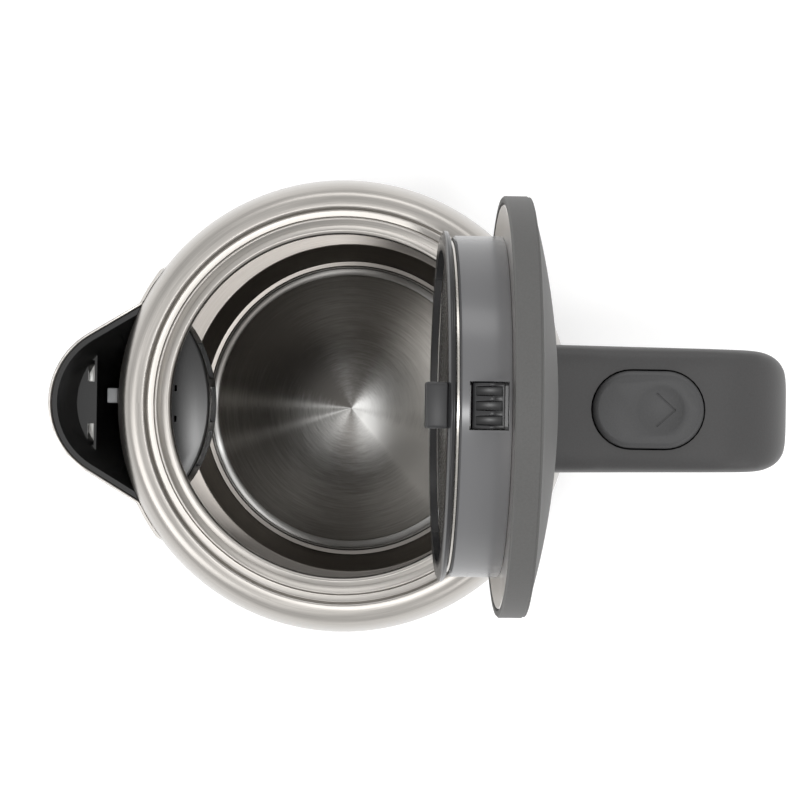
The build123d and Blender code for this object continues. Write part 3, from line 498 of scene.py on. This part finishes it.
def outline_block(name: str, points: Sequence[Point], half_width: float, seat: Seat) -> bpy.types.Object:
    """Extrude a side outline of reaches and heights to both sides of the seat's plane."""
    across = seat.axis.cross(seat.side)
    corners = [seat.at(reach, height) - across * half_width for reach, height in points]
    piece = line_up(name, corners, False)
    bpy.ops.mesh.edge_face_add()
    bpy.ops.mesh.extrude_region_move(TRANSFORM_OT_translate={"value": across * 2 * half_width})
    bpy.ops.mesh.select_all(action="SELECT")
    bpy.ops.mesh.normals_make_consistent(inside=False)
    bpy.ops.object.mode_set(mode="OBJECT")
    return piece


def rounded(points: Sequence[Point], radii: Sequence[float], count: int = 6) -> list[Point]:
    """A closed outline with its corners rounded, one radius for each."""
    outline: list[Point] = []
    for index, (corner, radius) in enumerate(zip(points, radii)):
        here = Vector((*corner, 0))
        if radius == 0:
            outline.append(corner)
            continue
        back = (Vector((*points[index - 1], 0)) - here).normalized()
        ahead = (Vector((*points[(index + 1) % len(points)], 0)) - here).normalized()
        half = back.angle(ahead) / 2
        middle = here + (back + ahead).normalized() * (radius / sin(half))
        first = (here + back * (radius / tan(half)) - middle).normalized()
        last = (here + ahead * (radius / tan(half)) - middle).normalized()
        for step in range(count + 1):
            ray = middle + first.slerp(last, step / count) * radius
            outline.append((ray.x, ray.y))
    return outline


def loft(name: str, low: Sequence[Vector], high: Sequence[Vector]) -> bpy.types.Object:
    """Closed solid between two level outlines that have the same number of points."""
    top = line_up(name + "_top", high, True)
    bottom = line_up(name, low, True)
    bpy.ops.object.mode_set(mode="OBJECT")
    clear_selection()
    top.select_set(True)
    bottom.select_set(True)
    bpy.context.view_layer.objects.active = bottom
    bpy.ops.object.join()
    bpy.ops.object.mode_set(mode="EDIT")
    bpy.ops.mesh.select_all(action="SELECT")
    bpy.ops.mesh.bridge_edge_loops()
    bpy.ops.mesh.select_all(action="SELECT")
    bpy.ops.mesh.fill_holes(sides=0)
    bpy.ops.mesh.select_all(action="SELECT")
    bpy.ops.mesh.normals_make_consistent(inside=False)
    bpy.ops.object.mode_set(mode="OBJECT")
    return bottom


def level_block(name: str, outline: Sequence[Point], low: float, high: float,
                seat: Seat = Seat()) -> bpy.types.Object:
    """Extrude a plan outline along the seat's axis from one level to another."""
    piece = line_up(name, [seat.at(x, low, y) for x, y in outline], True)
    bpy.ops.mesh.edge_face_add()
    bpy.ops.mesh.extrude_region_move(TRANSFORM_OT_translate={"value": seat.axis * (high - low)})
    bpy.ops.mesh.select_all(action="SELECT")
    bpy.ops.mesh.normals_make_consistent(inside=False)
    bpy.ops.object.mode_set(mode="OBJECT")
    return piece


def rectangle(x: float, y: float, length: float, width: float) -> list[Point]:
    """Plan outline of a rectangle about its middle."""
    return [(x - length / 2, y - width / 2), (x + length / 2, y - width / 2),
            (x + length / 2, y + width / 2), (x - length / 2, y + width / 2)]


def obround(x: float, length: float, width: float, count: int = 16) -> list[Point]:
    """Plan outline with round ends, along X."""
    reach = (length - width) / 2
    return (arc((x + reach, 0), width / 2, -90, 90, count)
            + arc((x - reach, 0), width / 2, 90, 270, count))


def dress(piece: bpy.types.Object, finish: Finish, body: str, slot: str, *nodes: str) -> bpy.types.Object:
    """Give a new piece its finish and its body, and hide the CAD nodes that it stands for; the slot is not used.
    """
    piece.data.materials.clear()
    piece.data.materials.append(finish.material())
    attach(piece, body)
    if nodes:
        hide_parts(*nodes)
    LOG.info("%s: %d faces on %s", piece.name, len(piece.data.polygons), body)
    return piece


def paint_node(name: str, finish: Finish) -> None:
    """Give a CAD node its finish."""
    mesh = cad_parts[name].data
    mesh.materials.clear()
    mesh.materials.append(finish.material())


# ---------------------------------------------------------------- jug
@dataclass
class Jug:
    """Steel jug: shell with its stepped rim, floor pan and heating plate."""

    rim: float = 0.230
    crest: float = 0.0650
    shoulder: float = 0.0746
    shoulder_drop: float = 0.026
    foot: float = 0.0770
    foot_height: float = 0.032
    wall: float = 0.0008
    seat_drop: float = 0.0032
    mouth: float = 0.0558
    lip: float = 0.0013
    floor: float = 0.045
    ledge: float = 0.009
    ledge_radius: float = 0.0617
    plate: float = 0.0544
    seat: Seat = field(default_factory=Seat)

    def rim_outline(self) -> list[Point]:
        """Section of the rim from the crest inwards to the bottom of the neck."""
        step = self.rim - self.seat_drop
        crest_round = 0.0009
        points = arc((self.crest, self.rim - crest_round), crest_round, 90, 170, 5)
        points += arc((self.crest - 0.0018, step + 0.0008), 0.0008, -20, -90, 4)
        points += [(self.crest - 0.0034, step - 0.0001)]
        ridge = self.crest - 0.0042
        points += arc((ridge, step), 0.0007, 30, 150, 5)
        points += [(self.mouth + 2 * self.lip + 0.0003, step - 0.0002)]
        points += arc((self.mouth + self.lip, step - self.lip + 0.0006), self.lip, 80, 180, 7)
        points += [(self.mouth, step - 0.0034)]
        return points

    def shell_outline(self) -> list[Point]:
        """Closed section of the shell, its outside, its rim and its inside."""
        knee = self.rim - self.shoulder_drop
        outside = [(self.foot, self.foot_height), (self.shoulder, knee)]
        shoulder = self.shoulder_curve()
        rim = self.rim_outline()
        step = self.rim - self.seat_drop
        under = [(self.mouth + self.wall, step - 0.0034), (self.mouth + self.wall, step - 0.0016),
                 (self.crest + self.wall, step - self.wall)]
        inside = [(r - self.wall, h - self.wall * 0.8) for r, h in reversed(shoulder) if h < self.rim - 0.002]
        inside += [(self.shoulder - self.wall, knee), (self.foot - self.wall, self.foot_height)]
        return outside + shoulder + rim + under + inside

    def envelope(self, grow: float) -> bpy.types.Object:
        """Outside of the jug as a full solid, grown outwards."""
        knee = self.rim - self.shoulder_drop
        points = [(0.0, self.foot_height), (self.foot + grow, self.foot_height),
                  (self.shoulder + grow, knee)]
        points += [(r + grow, h + grow * 0.6) for r, h in self.shoulder_curve()]
        points += [(0.0, points[-1][1])]
        return turned("envelope", points, self.seat, 96, False)

    def shoulder_curve(self) -> list[Point]:
        """Outside of the rounded shoulder, from the straight wall to the crest."""
        knee = self.rim - self.shoulder_drop
        reach = self.shoulder - self.crest
        return [(self.crest + reach * cos(radians(a)) ** 0.62,
                 knee + self.shoulder_drop * sin(radians(a)) ** 0.9) for a in range(6, 90, 4)]

    def window(self) -> bpy.types.Object:
        """Cutter for the pouring window behind the spout."""
        half_top, half_bottom = 0.0195, 0.0130
        top, bottom = self.rim - 0.0297, self.rim - 0.0596
        seat = Seat(Vector((-0.075, 0, 0)), Vector((0, 1, 0)), Vector((0, 0, 1)))
        return outline_block("window_cutter", [(-half_top, top), (half_top, top), (half_bottom, bottom),
                                               (-half_bottom, bottom)], 0.012, seat)

    def build(self) -> None:
        """Build and dress the shell, the pan and the plate."""
        shell = turned("steel_shell", self.shell_outline(), self.seat, 192)
        carve(shell, self.window())
        smooth(shell)
        dress(shell, Finish.SHELL, "jug", "brushed_steel", "jug_shell")
        inner = self.foot - self.wall - 0.0004
        step = self.floor + self.ledge
        pan = [(inner, step - 0.006), (inner, step + 0.0012)]
        pan += arc((inner - 0.0024, step + 0.0024), 0.0024, 0, -90, 5)
        pan += arc((self.ledge_radius + 0.0008, step - 0.0008), 0.0008, 90, 150, 4)
        pan += [(self.plate + 0.0016, self.floor + 0.0004), (self.plate + 0.0002, self.floor + 0.0002),
                (self.plate + 0.0002, self.floor - 0.0008), (self.plate + 0.0016, self.floor - 0.0008),
                (self.ledge_radius + 0.0002, step - 0.0016), (inner - 0.001, step - 0.0010),
                (inner - 0.001, step - 0.006)]
        dress(turned("pan", pan, self.seat, 192), Finish.PAN, "jug", "brushed_steel", "floor_pan")
        bead = 0.0005
        plate = [(0.0, self.floor), (self.plate - 0.004, self.floor), (self.plate - 0.0036, self.floor - 0.0002),
                 (self.plate - 0.0030, self.floor), (self.plate - 2 * bead, self.floor)]
        plate += arc((self.plate - bead, self.floor + 0.0002), bead, 160, 20, 5)
        plate += [(self.plate, self.floor - 0.0008), (0.0, self.floor - 0.0008)]
        dress(turned("plate", plate, self.seat, 192, False), Finish.PLATE, "jug", "brushed_steel",
              "heating_plate")


# ---------------------------------------------------------------- spout
@dataclass
class Spout:
    """Sheet steel spout with a welded flange, and the black moulding inside it."""

    top: float = 0.217
    height: float = 0.066
    reach: float = 0.097
    nose: float = 0.0265
    root_reach: float = 0.073
    root_nose: float = 0.020
    half_angle: float = radians(31)
    wall: float = 0.0008
    liner_wall: float = 0.0016
    flange: float = 0.006
    gap: float = 0.00015
    root: float = 0.055
    jug: Jug = field(default_factory=Jug)

    def ring(self, share: float, inset: float) -> list[Vector]:
        """Level outline at a share of the spout's height, moved inwards."""
        reach = self.root_reach + (self.reach - self.root_reach) * share
        nose = self.root_nose + (self.nose - self.root_nose) * share
        centre = -(reach - nose)
        radius = max(nose - inset, 0.002)
        lift = 90 - self.half_angle * 180 / pi
        bow = arc((centre, 0), radius, 180 - lift, 180 + lift, 24)
        spread = (self.root + centre) * tan(self.half_angle)
        side_x, side_y = bow[0]
        slope = tan(self.half_angle)
        width = side_y + (-self.root - side_x) * slope * (1 if -self.root > side_x else 1)
        height = self.top - self.height + self.height * share
        points = [(-self.root, width)] + bow + [(-self.root, -width)]
        return [Vector((x, y, height)) for x, y in points]

    def block(self, name: str, inset: float, low: float = 0.0, high: float = 1.0) -> bpy.types.Object:
        """Solid of the spout between two shares of its height."""
        return loft(name, self.ring(low, inset), self.ring(high, inset))

    def build(self) -> None:
        """Build and dress the steel spout and its liner."""
        spout = self.block("steel_spout", 0.0)
        carve(spout, self.block("inner", self.wall, -0.1, 1.1))
        carve(spout, self.jug.envelope(self.gap))
        soften(spout, 0.00025, 2)
        smooth(spout)
        dress(spout, Finish.SPOUT, "jug", "brushed_steel", "spout")
        flange = self.jug.envelope(self.gap + self.wall)
        carve(flange, self.block("flange_limit", -self.flange), "INTERSECT")
        carve(flange, self.block("flange_hole", 0.00005, -0.1, 1.1))
        carve(flange, self.jug.envelope(self.gap))
        flange.name = "spout_flange"
        smooth(flange)
        dress(flange, Finish.SPOUT, "jug", "brushed_steel")
        self.liner()

    def liner(self) -> None:
        """Black moulding with a sloping floor, two slots and a small clip."""
        outer = self.wall + self.gap
        liner = self.block("pouring_liner", outer, 0.0, 0.985)
        carve(liner, self.block("liner_inner", outer + self.liner_wall, 0.0, 1.1))
        carve(liner, self.jug.envelope(self.gap))
        floor = self.block("liner_floor", outer + self.liner_wall * 0.7, 0.74, 0.77)
        carve(floor, box_piece("drop", Vector((-0.0824, -0.04, 0.15)), Vector((-0.05, 0.04, 0.23))))
        for across in (-0.0105, 0.0105):
            carve(floor, box_piece("slot", Vector((-0.0853, across - 0.0036, 0.15)),
                                   Vector((-0.0832, across + 0.0036, 0.23))))
            backing = box_piece("slot_backing", Vector((-0.0853, across - 0.0036, 0.1972)),
                                Vector((-0.0832, across + 0.0036, 0.1980)))
            # The backings take the heating plate's finish, its painted sunburst rays included.
            dress(backing, Finish.PLATE, "jug", "brushed_steel")
        smooth(liner)
        dress(liner, Finish.BLACK, "jug", "gloss_black", "spout_liner")
        smooth(floor)
        dress(floor, Finish.BLACK, "jug", "gloss_black")
        clip = box_piece("liner_clip", Vector((-0.0792, 0.0000, 0.1950)), Vector((-0.0757, 0.0050, 0.1990)))
        soften(clip, 0.0004)
        smooth(clip)
        dress(clip, Finish.CLIP, "jug", "gloss_black")


# ---------------------------------------------------------------- filter
@dataclass
class Filter:
    """Lift-out cartridge: crescent frame with a mesh behind its windows and two clips."""

    arc_radius: float = 0.0464
    reach: float = 0.0448
    back: float = 0.0722
    wall: float = 0.0016
    clearance: float = 0.0012
    height: float = 0.040

    def crescent(self, inset: float) -> list[Point]:
        """Plan outline between the front arc and the jug's wall."""
        centre = -(self.reach + self.arc_radius)
        front, back = self.arc_radius - inset, self.back - inset
        meet = (centre * centre + front * front - back * back) / (2 * -centre * front)
        spread = asin(max(min(sqrt(1 - meet * meet), 1), 0)) if meet > 0 else pi - asin(sqrt(1 - meet * meet))
        rim = front * sin(spread)
        open_angle = asin(rim / back)
        limit = spread * 180 / pi
        points = arc((centre, 0), front, -limit, limit, 40)
        points += arc((0, 0), back, 180 - open_angle * 180 / pi, 180 + open_angle * 180 / pi, 24)[1:-1]
        return points

    def build(self) -> None:
        """Build and dress the frame and its clips."""
        low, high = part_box("filter_frame")
        top, bottom = high.z, low.z
        frame_piece = level_block("cartridge", self.crescent(0.0), bottom, top)
        soften(frame_piece, 0.0009, 3, 50)
        carve(frame_piece, level_block("hollow", self.crescent(self.wall), bottom + self.wall,
                                       top - self.wall))
        for row in (-1, 0, 1):
            carve(frame_piece, box_piece("window", Vector((-0.070, row * 0.015 - 0.006, bottom + 0.005)),
                                         Vector((-0.040, row * 0.015 + 0.006, top - 0.006))))
        carve(frame_piece, box_piece("back_window", Vector((-0.090, -0.020, bottom + 0.005)),
                                     Vector((-0.062, 0.020, top - 0.005))))
        smooth(frame_piece)
        dress(frame_piece, Finish.BLACK, "filter", "gloss_black", "filter_frame")
        for across in (-0.0050, 0.0052):
            clip = box_piece("cartridge_clip", Vector((-0.0568, across - 0.0012, top - 0.0006)),
                             Vector((-0.0556, across + 0.0012, top + 0.0)))
            soften(clip, 0.0002)
            dress(clip, Finish.CLIP, "filter", "gloss_black")


# ---------------------------------------------------------------- lid
@dataclass
class Lid:
    """Hinged lid: soft-touch cap, glossy plug, steel disc, seal, tab and sliding latch."""

    radius: float = 0.0637
    band: float = 0.0075
    dome: float = 0.0095
    cap_wall: float = 0.0024
    skirt: float = 0.0515
    depth: float = 0.015
    wall: float = 0.002
    flange: float = 0.06115
    flange_thickness: float = 0.0016
    seal: float = 0.053
    open_angle: float = radians(92.5)
    hinge: Vector = Vector((0.057, 0, 0.2386))
    hinge_reach: float = 0.057
    hinge_rise: float = 0.011

    def __post_init__(self) -> None:
        """Work out the lid's own axes where it rests, open."""
        side = Vector((cos(self.open_angle), 0, -sin(self.open_angle)))
        axis = Vector((sin(self.open_angle), 0, cos(self.open_angle)))
        self.seat = Seat(self.hinge - side * self.hinge_reach - axis * self.hinge_rise, side, axis)

    def plate(self, name: str, outline: Sequence[Point], low: float, high: float) -> bpy.types.Object:
        """Block with a plan outline across the lid."""
        return level_block(name, outline, low, high, self.seat)

    def dome_curve(self, edge: float, base: float, height: float, count: int = 22) -> list[Point]:
        """Points of a shallow sphere from an edge up to the axis."""
        sphere = (edge * edge + height * height) / (2 * height)
        middle = base + height - sphere
        return [(edge * (1 - i / count), middle + sqrt(sphere * sphere - (edge * (1 - i / count)) ** 2))
                for i in range(count + 1)]

    def build(self) -> None:
        """Build and dress every piece of the lid."""
        self.cap()
        self.plug()
        self.underside()
        self.latch()

    def cap(self) -> None:
        """Domed cap with its hinge notch and two ears."""
        edge, inner = self.radius, self.radius - self.cap_wall
        round_edge = 0.0012
        outline = [(0.0, self.band + self.dome - self.cap_wall)]
        outline += list(reversed(self.dome_curve(inner, self.band - self.cap_wall, self.dome)))[1:]
        outline += [(inner, 0.0004), (inner + 0.0004, 0.0), (edge - 0.0005, 0.0), (edge, 0.0005)]
        outline += [(edge, self.band - 0.0004), (edge - 0.00035, self.band), (edge - 0.0003, self.band + 0.0005)]
        outline += self.dome_curve(edge, self.band, self.dome)[1:]
        cap = turned("domed_cap", outline, self.seat, 160, False)
        carve(cap, self.plate("notch", rectangle(0.047 + 0.03, 0, 0.06, 0.046), -0.002, 0.03))
        smooth(cap)
        dress(cap, Finish.SOFT, "lid", "soft_touch_grey", "lid_cap")
        wall = self.plate("notch_wall", rectangle(0.0458, 0, self.cap_wall, 0.0478), 0.00175, 0.0118)
        smooth(wall)
        dress(wall, Finish.SOFT, "lid", "soft_touch_grey")
        for across in (-0.013, 0.013):
            seat = Seat(self.seat.origin + self.seat.axis.cross(self.seat.side) * across,
                        self.seat.side, self.seat.axis)
            lobe = arc((self.hinge_reach, self.hinge_rise), 0.0042, -50, 110, 12)
            ear = outline_block("hinge_ear", [(0.0447, 0.00175), (0.049, 0.00175)] + lobe
                                + [(0.0447, 0.009)], 0.002, seat)
            soften(ear, 0.0004, 2)
            smooth(ear)
            dress(ear, Finish.SOFT, "lid", "soft_touch_grey")

    def plug(self) -> None:
        """Glossy skirt and its flange, with the latch's window."""
        skirt, wall = self.skirt, self.wall
        outline = [(0.037, 0.0), (skirt - 0.0002, 0.0), (skirt, -0.0006), (skirt, -self.depth + 0.0006),
                   (skirt - 0.0006, -self.depth), (skirt - 0.008, -self.depth),
                   (skirt - 0.008, wall - self.depth), (skirt - wall, wall - self.depth),
                   (skirt - wall, -0.0004), (0.037, -0.0004)]
        flange = [(skirt - wall, 0.0001), (self.flange - 0.0003, 0.0001), (self.flange, 0.0005),
                  (self.flange, self.flange_thickness), (0.037, self.flange_thickness), (0.037, 0.0001)]
        room = self.plate("notch_room", rectangle(0.0455 + 0.03, 0, 0.06, 0.0484), -0.0001, 0.01)
        ring = turned("plug_flange", flange, self.seat, 160)
        carve(ring, room)
        smooth(ring)
        dress(ring, Finish.FLANGE, "lid", "brushed_steel")
        plug = turned("plug_skirt", outline, self.seat, 160)
        carve(plug, self.plate("latch_window", rectangle(-skirt, 0, 0.014, 0.014), -0.0123, -0.0009))
        smooth(plug)
        dress(plug, Finish.SATIN, "lid", "satin_grey", "lid_plug")

    def underside(self) -> None:
        """Steel disc, dark seal round it and the pull tab."""
        disc_top = -self.depth - 0.00015
        disc = turned("steam_disc", [(0.0, disc_top - 0.001), (0.044, disc_top - 0.001),
                                     (0.0447, disc_top - 0.0006), (0.050, disc_top - 0.0006),
                                     (0.050, disc_top), (0.0, disc_top)], self.seat, 144, False)
        dress(disc, Finish.LID_STEEL, "lid", "brushed_steel", "lid_disc")
        top = disc_top - 0.001
        seal = self.seal
        outline = [(seal - 0.006, top), (seal - 0.0012, top), (seal - 0.0008, top - 0.0004),
                   (seal - 0.0002, top - 0.0004)]
        outline += arc((seal - 0.0006, top - 0.0011), 0.0006, 50, -60, 5)
        outline += [(seal - 0.0010, top - 0.0018), (seal - 0.0016, top - 0.0022), (seal - 0.006, top - 0.0022)]
        dress(turned("lip_seal", outline, self.seat, 160), Finish.SEAL, "lid", "seal", "lid_seal")
        bottom = top - 0.0022
        tab = self.plate("pull_tab", rounded(rectangle(-self.skirt + 0.005, 0, 0.009, 0.0134),
                                             [0.001] * 4), bottom - 0.0064, bottom)
        soften(tab, 0.0006, 3, 50)
        smooth(tab)
        dress(tab, Finish.TAB, "lid", "satin_grey", "lid_tab")

    def latch(self) -> None:
        """Black bolt with three pockets between its ribs, in its guide."""
        top, front, back, nose = -0.0022, -self.skirt - 0.001, -self.skirt + 0.0115, 0.0052
        side = [(back, top), (front, top), (front, top - 0.0032), (front - nose, top - 0.0032),
                (front - nose, top - 0.0046), (front, top - 0.0092), (back, top - 0.0092)]
        bolt = outline_block("latch_bolt_ribbed", side, 0.0065, self.seat)
        for row in (-1, 0, 1):
            carve(bolt, self.plate("pocket", [(front - 0.007, row * 0.0042 - 0.00155),
                                              (front + 0.001, row * 0.0042 - 0.00125),
                                              (front + 0.001, row * 0.0042 + 0.00125),
                                              (front - 0.007, row * 0.0042 + 0.00155)],
                                   top - 0.0084, top - 0.0008))
        soften(bolt, 0.0002, 2)
        smooth(bolt)
        dress(bolt, Finish.LATCH, "latch", "gloss_black", "latch_bolt")


# ---------------------------------------------------------------- handle and button
@dataclass
class Button:
    """Obround release button with a bevel, a thumb dish and an engraved chevron."""

    middle: float = 0.0978
    length: float = 0.0356
    width: float = 0.0248
    height: float = 0.009
    top: float = 0.2461
    dish_x: float = 0.1017
    dish_sphere: float = 0.030
    dish_depth: float = 0.0011

    def build(self) -> None:
        """Build and dress the button."""
        button = level_block("open_button", obround(self.middle, self.length, self.width, 24),
                             self.top - self.height, self.top)
        soften(button, 0.0019, 4, 50)
        carve(button, level_block("button_hollow", obround(self.middle, self.length - 0.005,
                                                           self.width - 0.005),
                                  self.top - self.height - 0.001, self.top - 0.0032))
        dish = start(bpy.ops.mesh.primitive_uv_sphere_add, "dish", radius=self.dish_sphere,
                     segments=96, ring_count=64,
                     location=(self.dish_x, 0, self.top + self.dish_sphere - self.dish_depth))
        bake(dish)
        carve(button, dish)
        self.engrave(button)
        foot = box_piece("button_foot", Vector((self.middle - 0.0095, -0.003, self.top - self.height - 0.001)),
                         Vector((self.middle - 0.0065, 0.003, self.top - 0.003)))
        smooth(button)
        dress(button, Finish.BUTTON, "button", "button_grey", "release_button")
        dress(foot, Finish.BUTTON, "button", "button_grey")

    def engrave(self, button: bpy.types.Object) -> None:
        """Cut a plain chevron into the dish."""
        floor = self.top - self.dish_depth - 0.0003
        for turn in (-1, 1):
            bar = box_piece("chevron", Vector((-0.0040, -0.00035, 0)), Vector((0.0040, 0.00035, 0.004)))
            bar.rotation_euler = (0, 0, radians(90 + turn * 48))
            bar.location = (self.dish_x + 0.0016, turn * 0.0026, floor)
            bake(bar)
            carve(button, bar)


@dataclass
class Handle:
    """Hollow loop handle with softly rounded edges and an inlaid grip cover."""

    reach: float = 0.148
    half_width: float = 0.021
    end_half_width: float = 0.0195
    corner: float = 0.015
    top: float = 0.245
    bottom: float = 0.062
    rim: float = 0.230
    wall: float = 0.0026
    grain: float = 0.0013
    rounds: int = 70
    hinge: Point = (0.057, 0.2386)
    barrel: float = 0.0094
    jug: Jug = field(default_factory=Jug)
    side: Seat = field(default_factory=lambda: Seat(Vector(), Vector((1, 0, 0)), Vector((0, 0, 1))))

    def profile(self, inset: float) -> list[Point]:
        """Side outline of the whole loop, moved inwards."""
        reach, rim, low = self.reach, self.rim, self.bottom + inset
        points = [(0.057 + inset, rim + inset), (0.057 + inset, self.top - inset),
                  (reach - 0.006 - inset, self.top - 0.002 - inset), (reach + 0.001 - inset, rim - 0.046),
                  (reach - 0.012 - inset, low + 0.036), (reach - 0.026 - inset, low),
                  (0.0735 + inset, low + 0.006)]
        return rounded(points, [0, 0, 0.024 - inset, 0.040, 0.040, 0.012, 0], 8)

    def gap(self, grow: float) -> list[Point]:
        """Side outline of the finger gap, grown outwards."""
        inner, low, arm = self.reach - 0.025 + grow, self.bottom - grow, self.rim - 0.014 + grow
        left = 0.0606 - grow
        points = [(left, arm - 0.002), (inner - 0.001, arm - 0.004), (inner, self.rim - 0.056),
                  (inner - 0.012, low + 0.050 + grow), (inner - 0.022, low + 0.024), (left, low + 0.028)]
        return rounded(points, [0, 0.020, 0.060, 0.060, 0.014, 0], 8)

    def plan(self, inset: float) -> list[Point]:
        """Plan outline, tapered and rounded at its outer end."""
        root, reach = 0.0396, self.reach - inset
        half, end = self.half_width - inset, self.end_half_width - inset
        corner = self.corner - inset
        return rounded([(root, -half), (reach, -end), (reach, end), (root, half)],
                       [0, corner, corner, 0], 14)

    def solid(self, name: str, inset: float) -> bpy.types.Object:
        """The loop as a solid, moved inwards."""
        piece = outline_block(name, self.profile(inset), 0.030, self.side)
        carve(piece, outline_block("finger_gap", self.gap(inset), 0.040, self.side))
        carve(piece, level_block("plan", self.plan(inset), self.bottom - 0.01, self.top + 0.03), "INTERSECT")
        return piece

    def build(self) -> None:
        """Build and dress the shell."""
        shell = self.solid("handle_loop", 0.0)
        modify(shell, "REMESH", mode="VOXEL", voxel_size=self.grain)
        modify(shell, "SMOOTH", factor=0.5, iterations=self.rounds)
        barrel = start(bpy.ops.mesh.primitive_cylinder_add, "barrel", vertices=64, radius=self.barrel,
                       depth=2 * self.half_width - 0.0006, location=(self.hinge[0], 0, self.hinge[1]),
                       rotation=(radians(90), 0, 0))
        bake(barrel)
        carve(barrel, box_piece("above", Vector((0.03, -0.03, self.top)), Vector((0.09, 0.03, 0.27))))
        carve(shell, barrel, "UNION")
        carve(shell, box_piece("below", Vector((0.02, -0.035, 0.20)), Vector((0.065, 0.035, self.rim + 0.0003))))
        carve(shell, self.solid("handle_inside", self.wall))
        self.cut_openings(shell)
        carve(shell, self.jug.envelope(0.00015))
        smooth(shell)
        dress(shell, Finish.GRIP, "jug", "soft_touch_grey", "handle_shell")

    def cut_openings(self, shell: bpy.types.Object) -> None:
        """Cut the hinge room, ear slots, button hole and switch slot."""
        roof = self.top - 0.0018
        cuts = [box_piece("bracket_room", Vector((0.0508, -0.0107, 0.218)), Vector((0.0724, 0.0107, roof)))]
        for across in (-0.013, 0.013):
            cuts.append(box_piece("ear_slot", Vector((0.0318, across - 0.0025, 0.229)),
                                  Vector((0.0618, across + 0.0025, 0.249))))
        cuts.append(level_block("button_hole", obround(0.0978, 0.0366, 0.0258), self.top - 0.008,
                                self.top + 0.002))
        cuts.append(box_piece("switch_slot", Vector((0.114, -0.0105, 0.061)), Vector((0.150, 0.0105, 0.087))))
        for cut in cuts:
            carve(shell, cut)


# ---------------------------------------------------------------- stage
@dataclass
class Studio:
    """Floor, lights and camera."""

    camera_height: float = 1.240
    camera_x: float = 0.0186
    camera_y: float = -0.0045
    focal: float = 140.4
    rise: float = 0.0066
    roll: float = 0.8

    def build(self) -> None:
        """Set the stage."""
        floor = start(bpy.ops.mesh.primitive_plane_add, "floor", size=12.0)
        paint = Paint("studio_floor")
        tone = paint.noise(paint.place(), 3.0)
        paint.set(Base_Color=paint.mix(tone, (0.93, 0.93, 0.93), (0.96, 0.96, 0.96)), Roughness=0.95,
                  Specular_IOR_Level=0.1, Emission_Color=(1, 1, 1, 1), Emission_Strength=0.16)
        floor.data.materials.append(paint.material)
        self.lights()
        self.camera()

    def lights(self) -> None:
        """Soft boxes round the kettle, and a pale world."""
        world = bpy.data.worlds.new("studio")
        world.use_nodes = True
        world.node_tree.nodes["Background"].inputs[0].default_value = (1, 1, 1, 1)
        world.node_tree.nodes["Background"].inputs[1].default_value = 0.95
        bpy.context.scene.world = world
        target = Vector((0, 0, 0.2))
        for name, place, size, power in (
                ("key", Vector((-0.9, -0.5, 1.3)), (0.7, 0.9), 7.0),
                ("fill", Vector((1.0, -0.9, 1.0)), (0.8, 0.6), 3.0),
                ("back", Vector((0.2, 1.3, 1.1)), (1.2, 0.5), 4.0),
                ("top", Vector((0.16, -0.12, 1.7)), (0.10, 0.10), 3.0)):
            clear_selection()
            bpy.ops.object.light_add(type="AREA", location=place)
            lamp = bpy.context.object
            lamp.name = name
            lamp.data.shape = "RECTANGLE"
            lamp.data.size, lamp.data.size_y = size
            lamp.data.energy = power
            lamp.rotation_euler = (target - place).to_track_quat("-Z", "Y").to_euler()

    def camera(self) -> None:
        """A long lens straight above the open jug."""
        eye = Vector((self.camera_x, self.camera_y, self.camera_height))
        clear_selection()
        bpy.ops.object.camera_add(location=eye)
        camera = bpy.context.object
        camera.data.lens = self.focal
        camera.data.sensor_width = 36.0
        camera.data.clip_end = 20.0
        tilt = self.rise / (self.camera_height - 0.230)
        camera.rotation_euler = (tilt, 0.0, radians(self.roll))
        camera.data.clip_start = 0.05
        bpy.context.scene.camera = camera
        bpy.context.scene.view_settings.view_transform = "Standard"


CAD_FINISHES = {
    Finish.SOFT: ("base_housing", "jug_base", "lid_cap"),
    Finish.GRIP: ("handle_shell", "handle_grip"),
    Finish.BLACK: ("base_plate", "base_connector", "guide_collar", "control_unit", "jug_socket",
                   "spout_liner", "hinge_bracket", "filter_frame", "latch_guide", "push_rod",
                   "power_switch"),
    Finish.RUBBER: ("base_feet", "cord_gland"),
    Finish.SCREW: ("base_screws", "bimetal_disc", "jug_base_screws", "hinge_pin", "hinge_spring",
                   "button_spring", "switch_pin", "lid_screws", "handle_screws"),
    Finish.BRASS: ("base_contacts", "socket_contacts"),
    Finish.ALUMINIUM: ("heat_spreader", "heating_element"),
    Finish.SHELL: ("spout",),
    Finish.LID_STEEL: ("lid_disc",),
    Finish.SATIN: ("lid_plug",),
    Finish.TAB: ("lid_tab",),
    Finish.SEAL: ("lid_seal",),
    Finish.LATCH: ("latch_bolt",),
    Finish.BUTTON: ("release_button",),
    Finish.MESH: ("filter_mesh",),
}


def main() -> None:
    """Build every sub-assembly and the studio."""
    logging.basicConfig(level=logging.INFO, format="%(name)s %(message)s")
    for finish, nodes in CAD_FINISHES.items():
        for node in nodes:
            paint_node(node, finish)
    for part in (Jug(), Spout(), Filter(), Lid(), Button(), Handle(), Studio()):
        part.build()


if __name__ == "__main__":
    main()
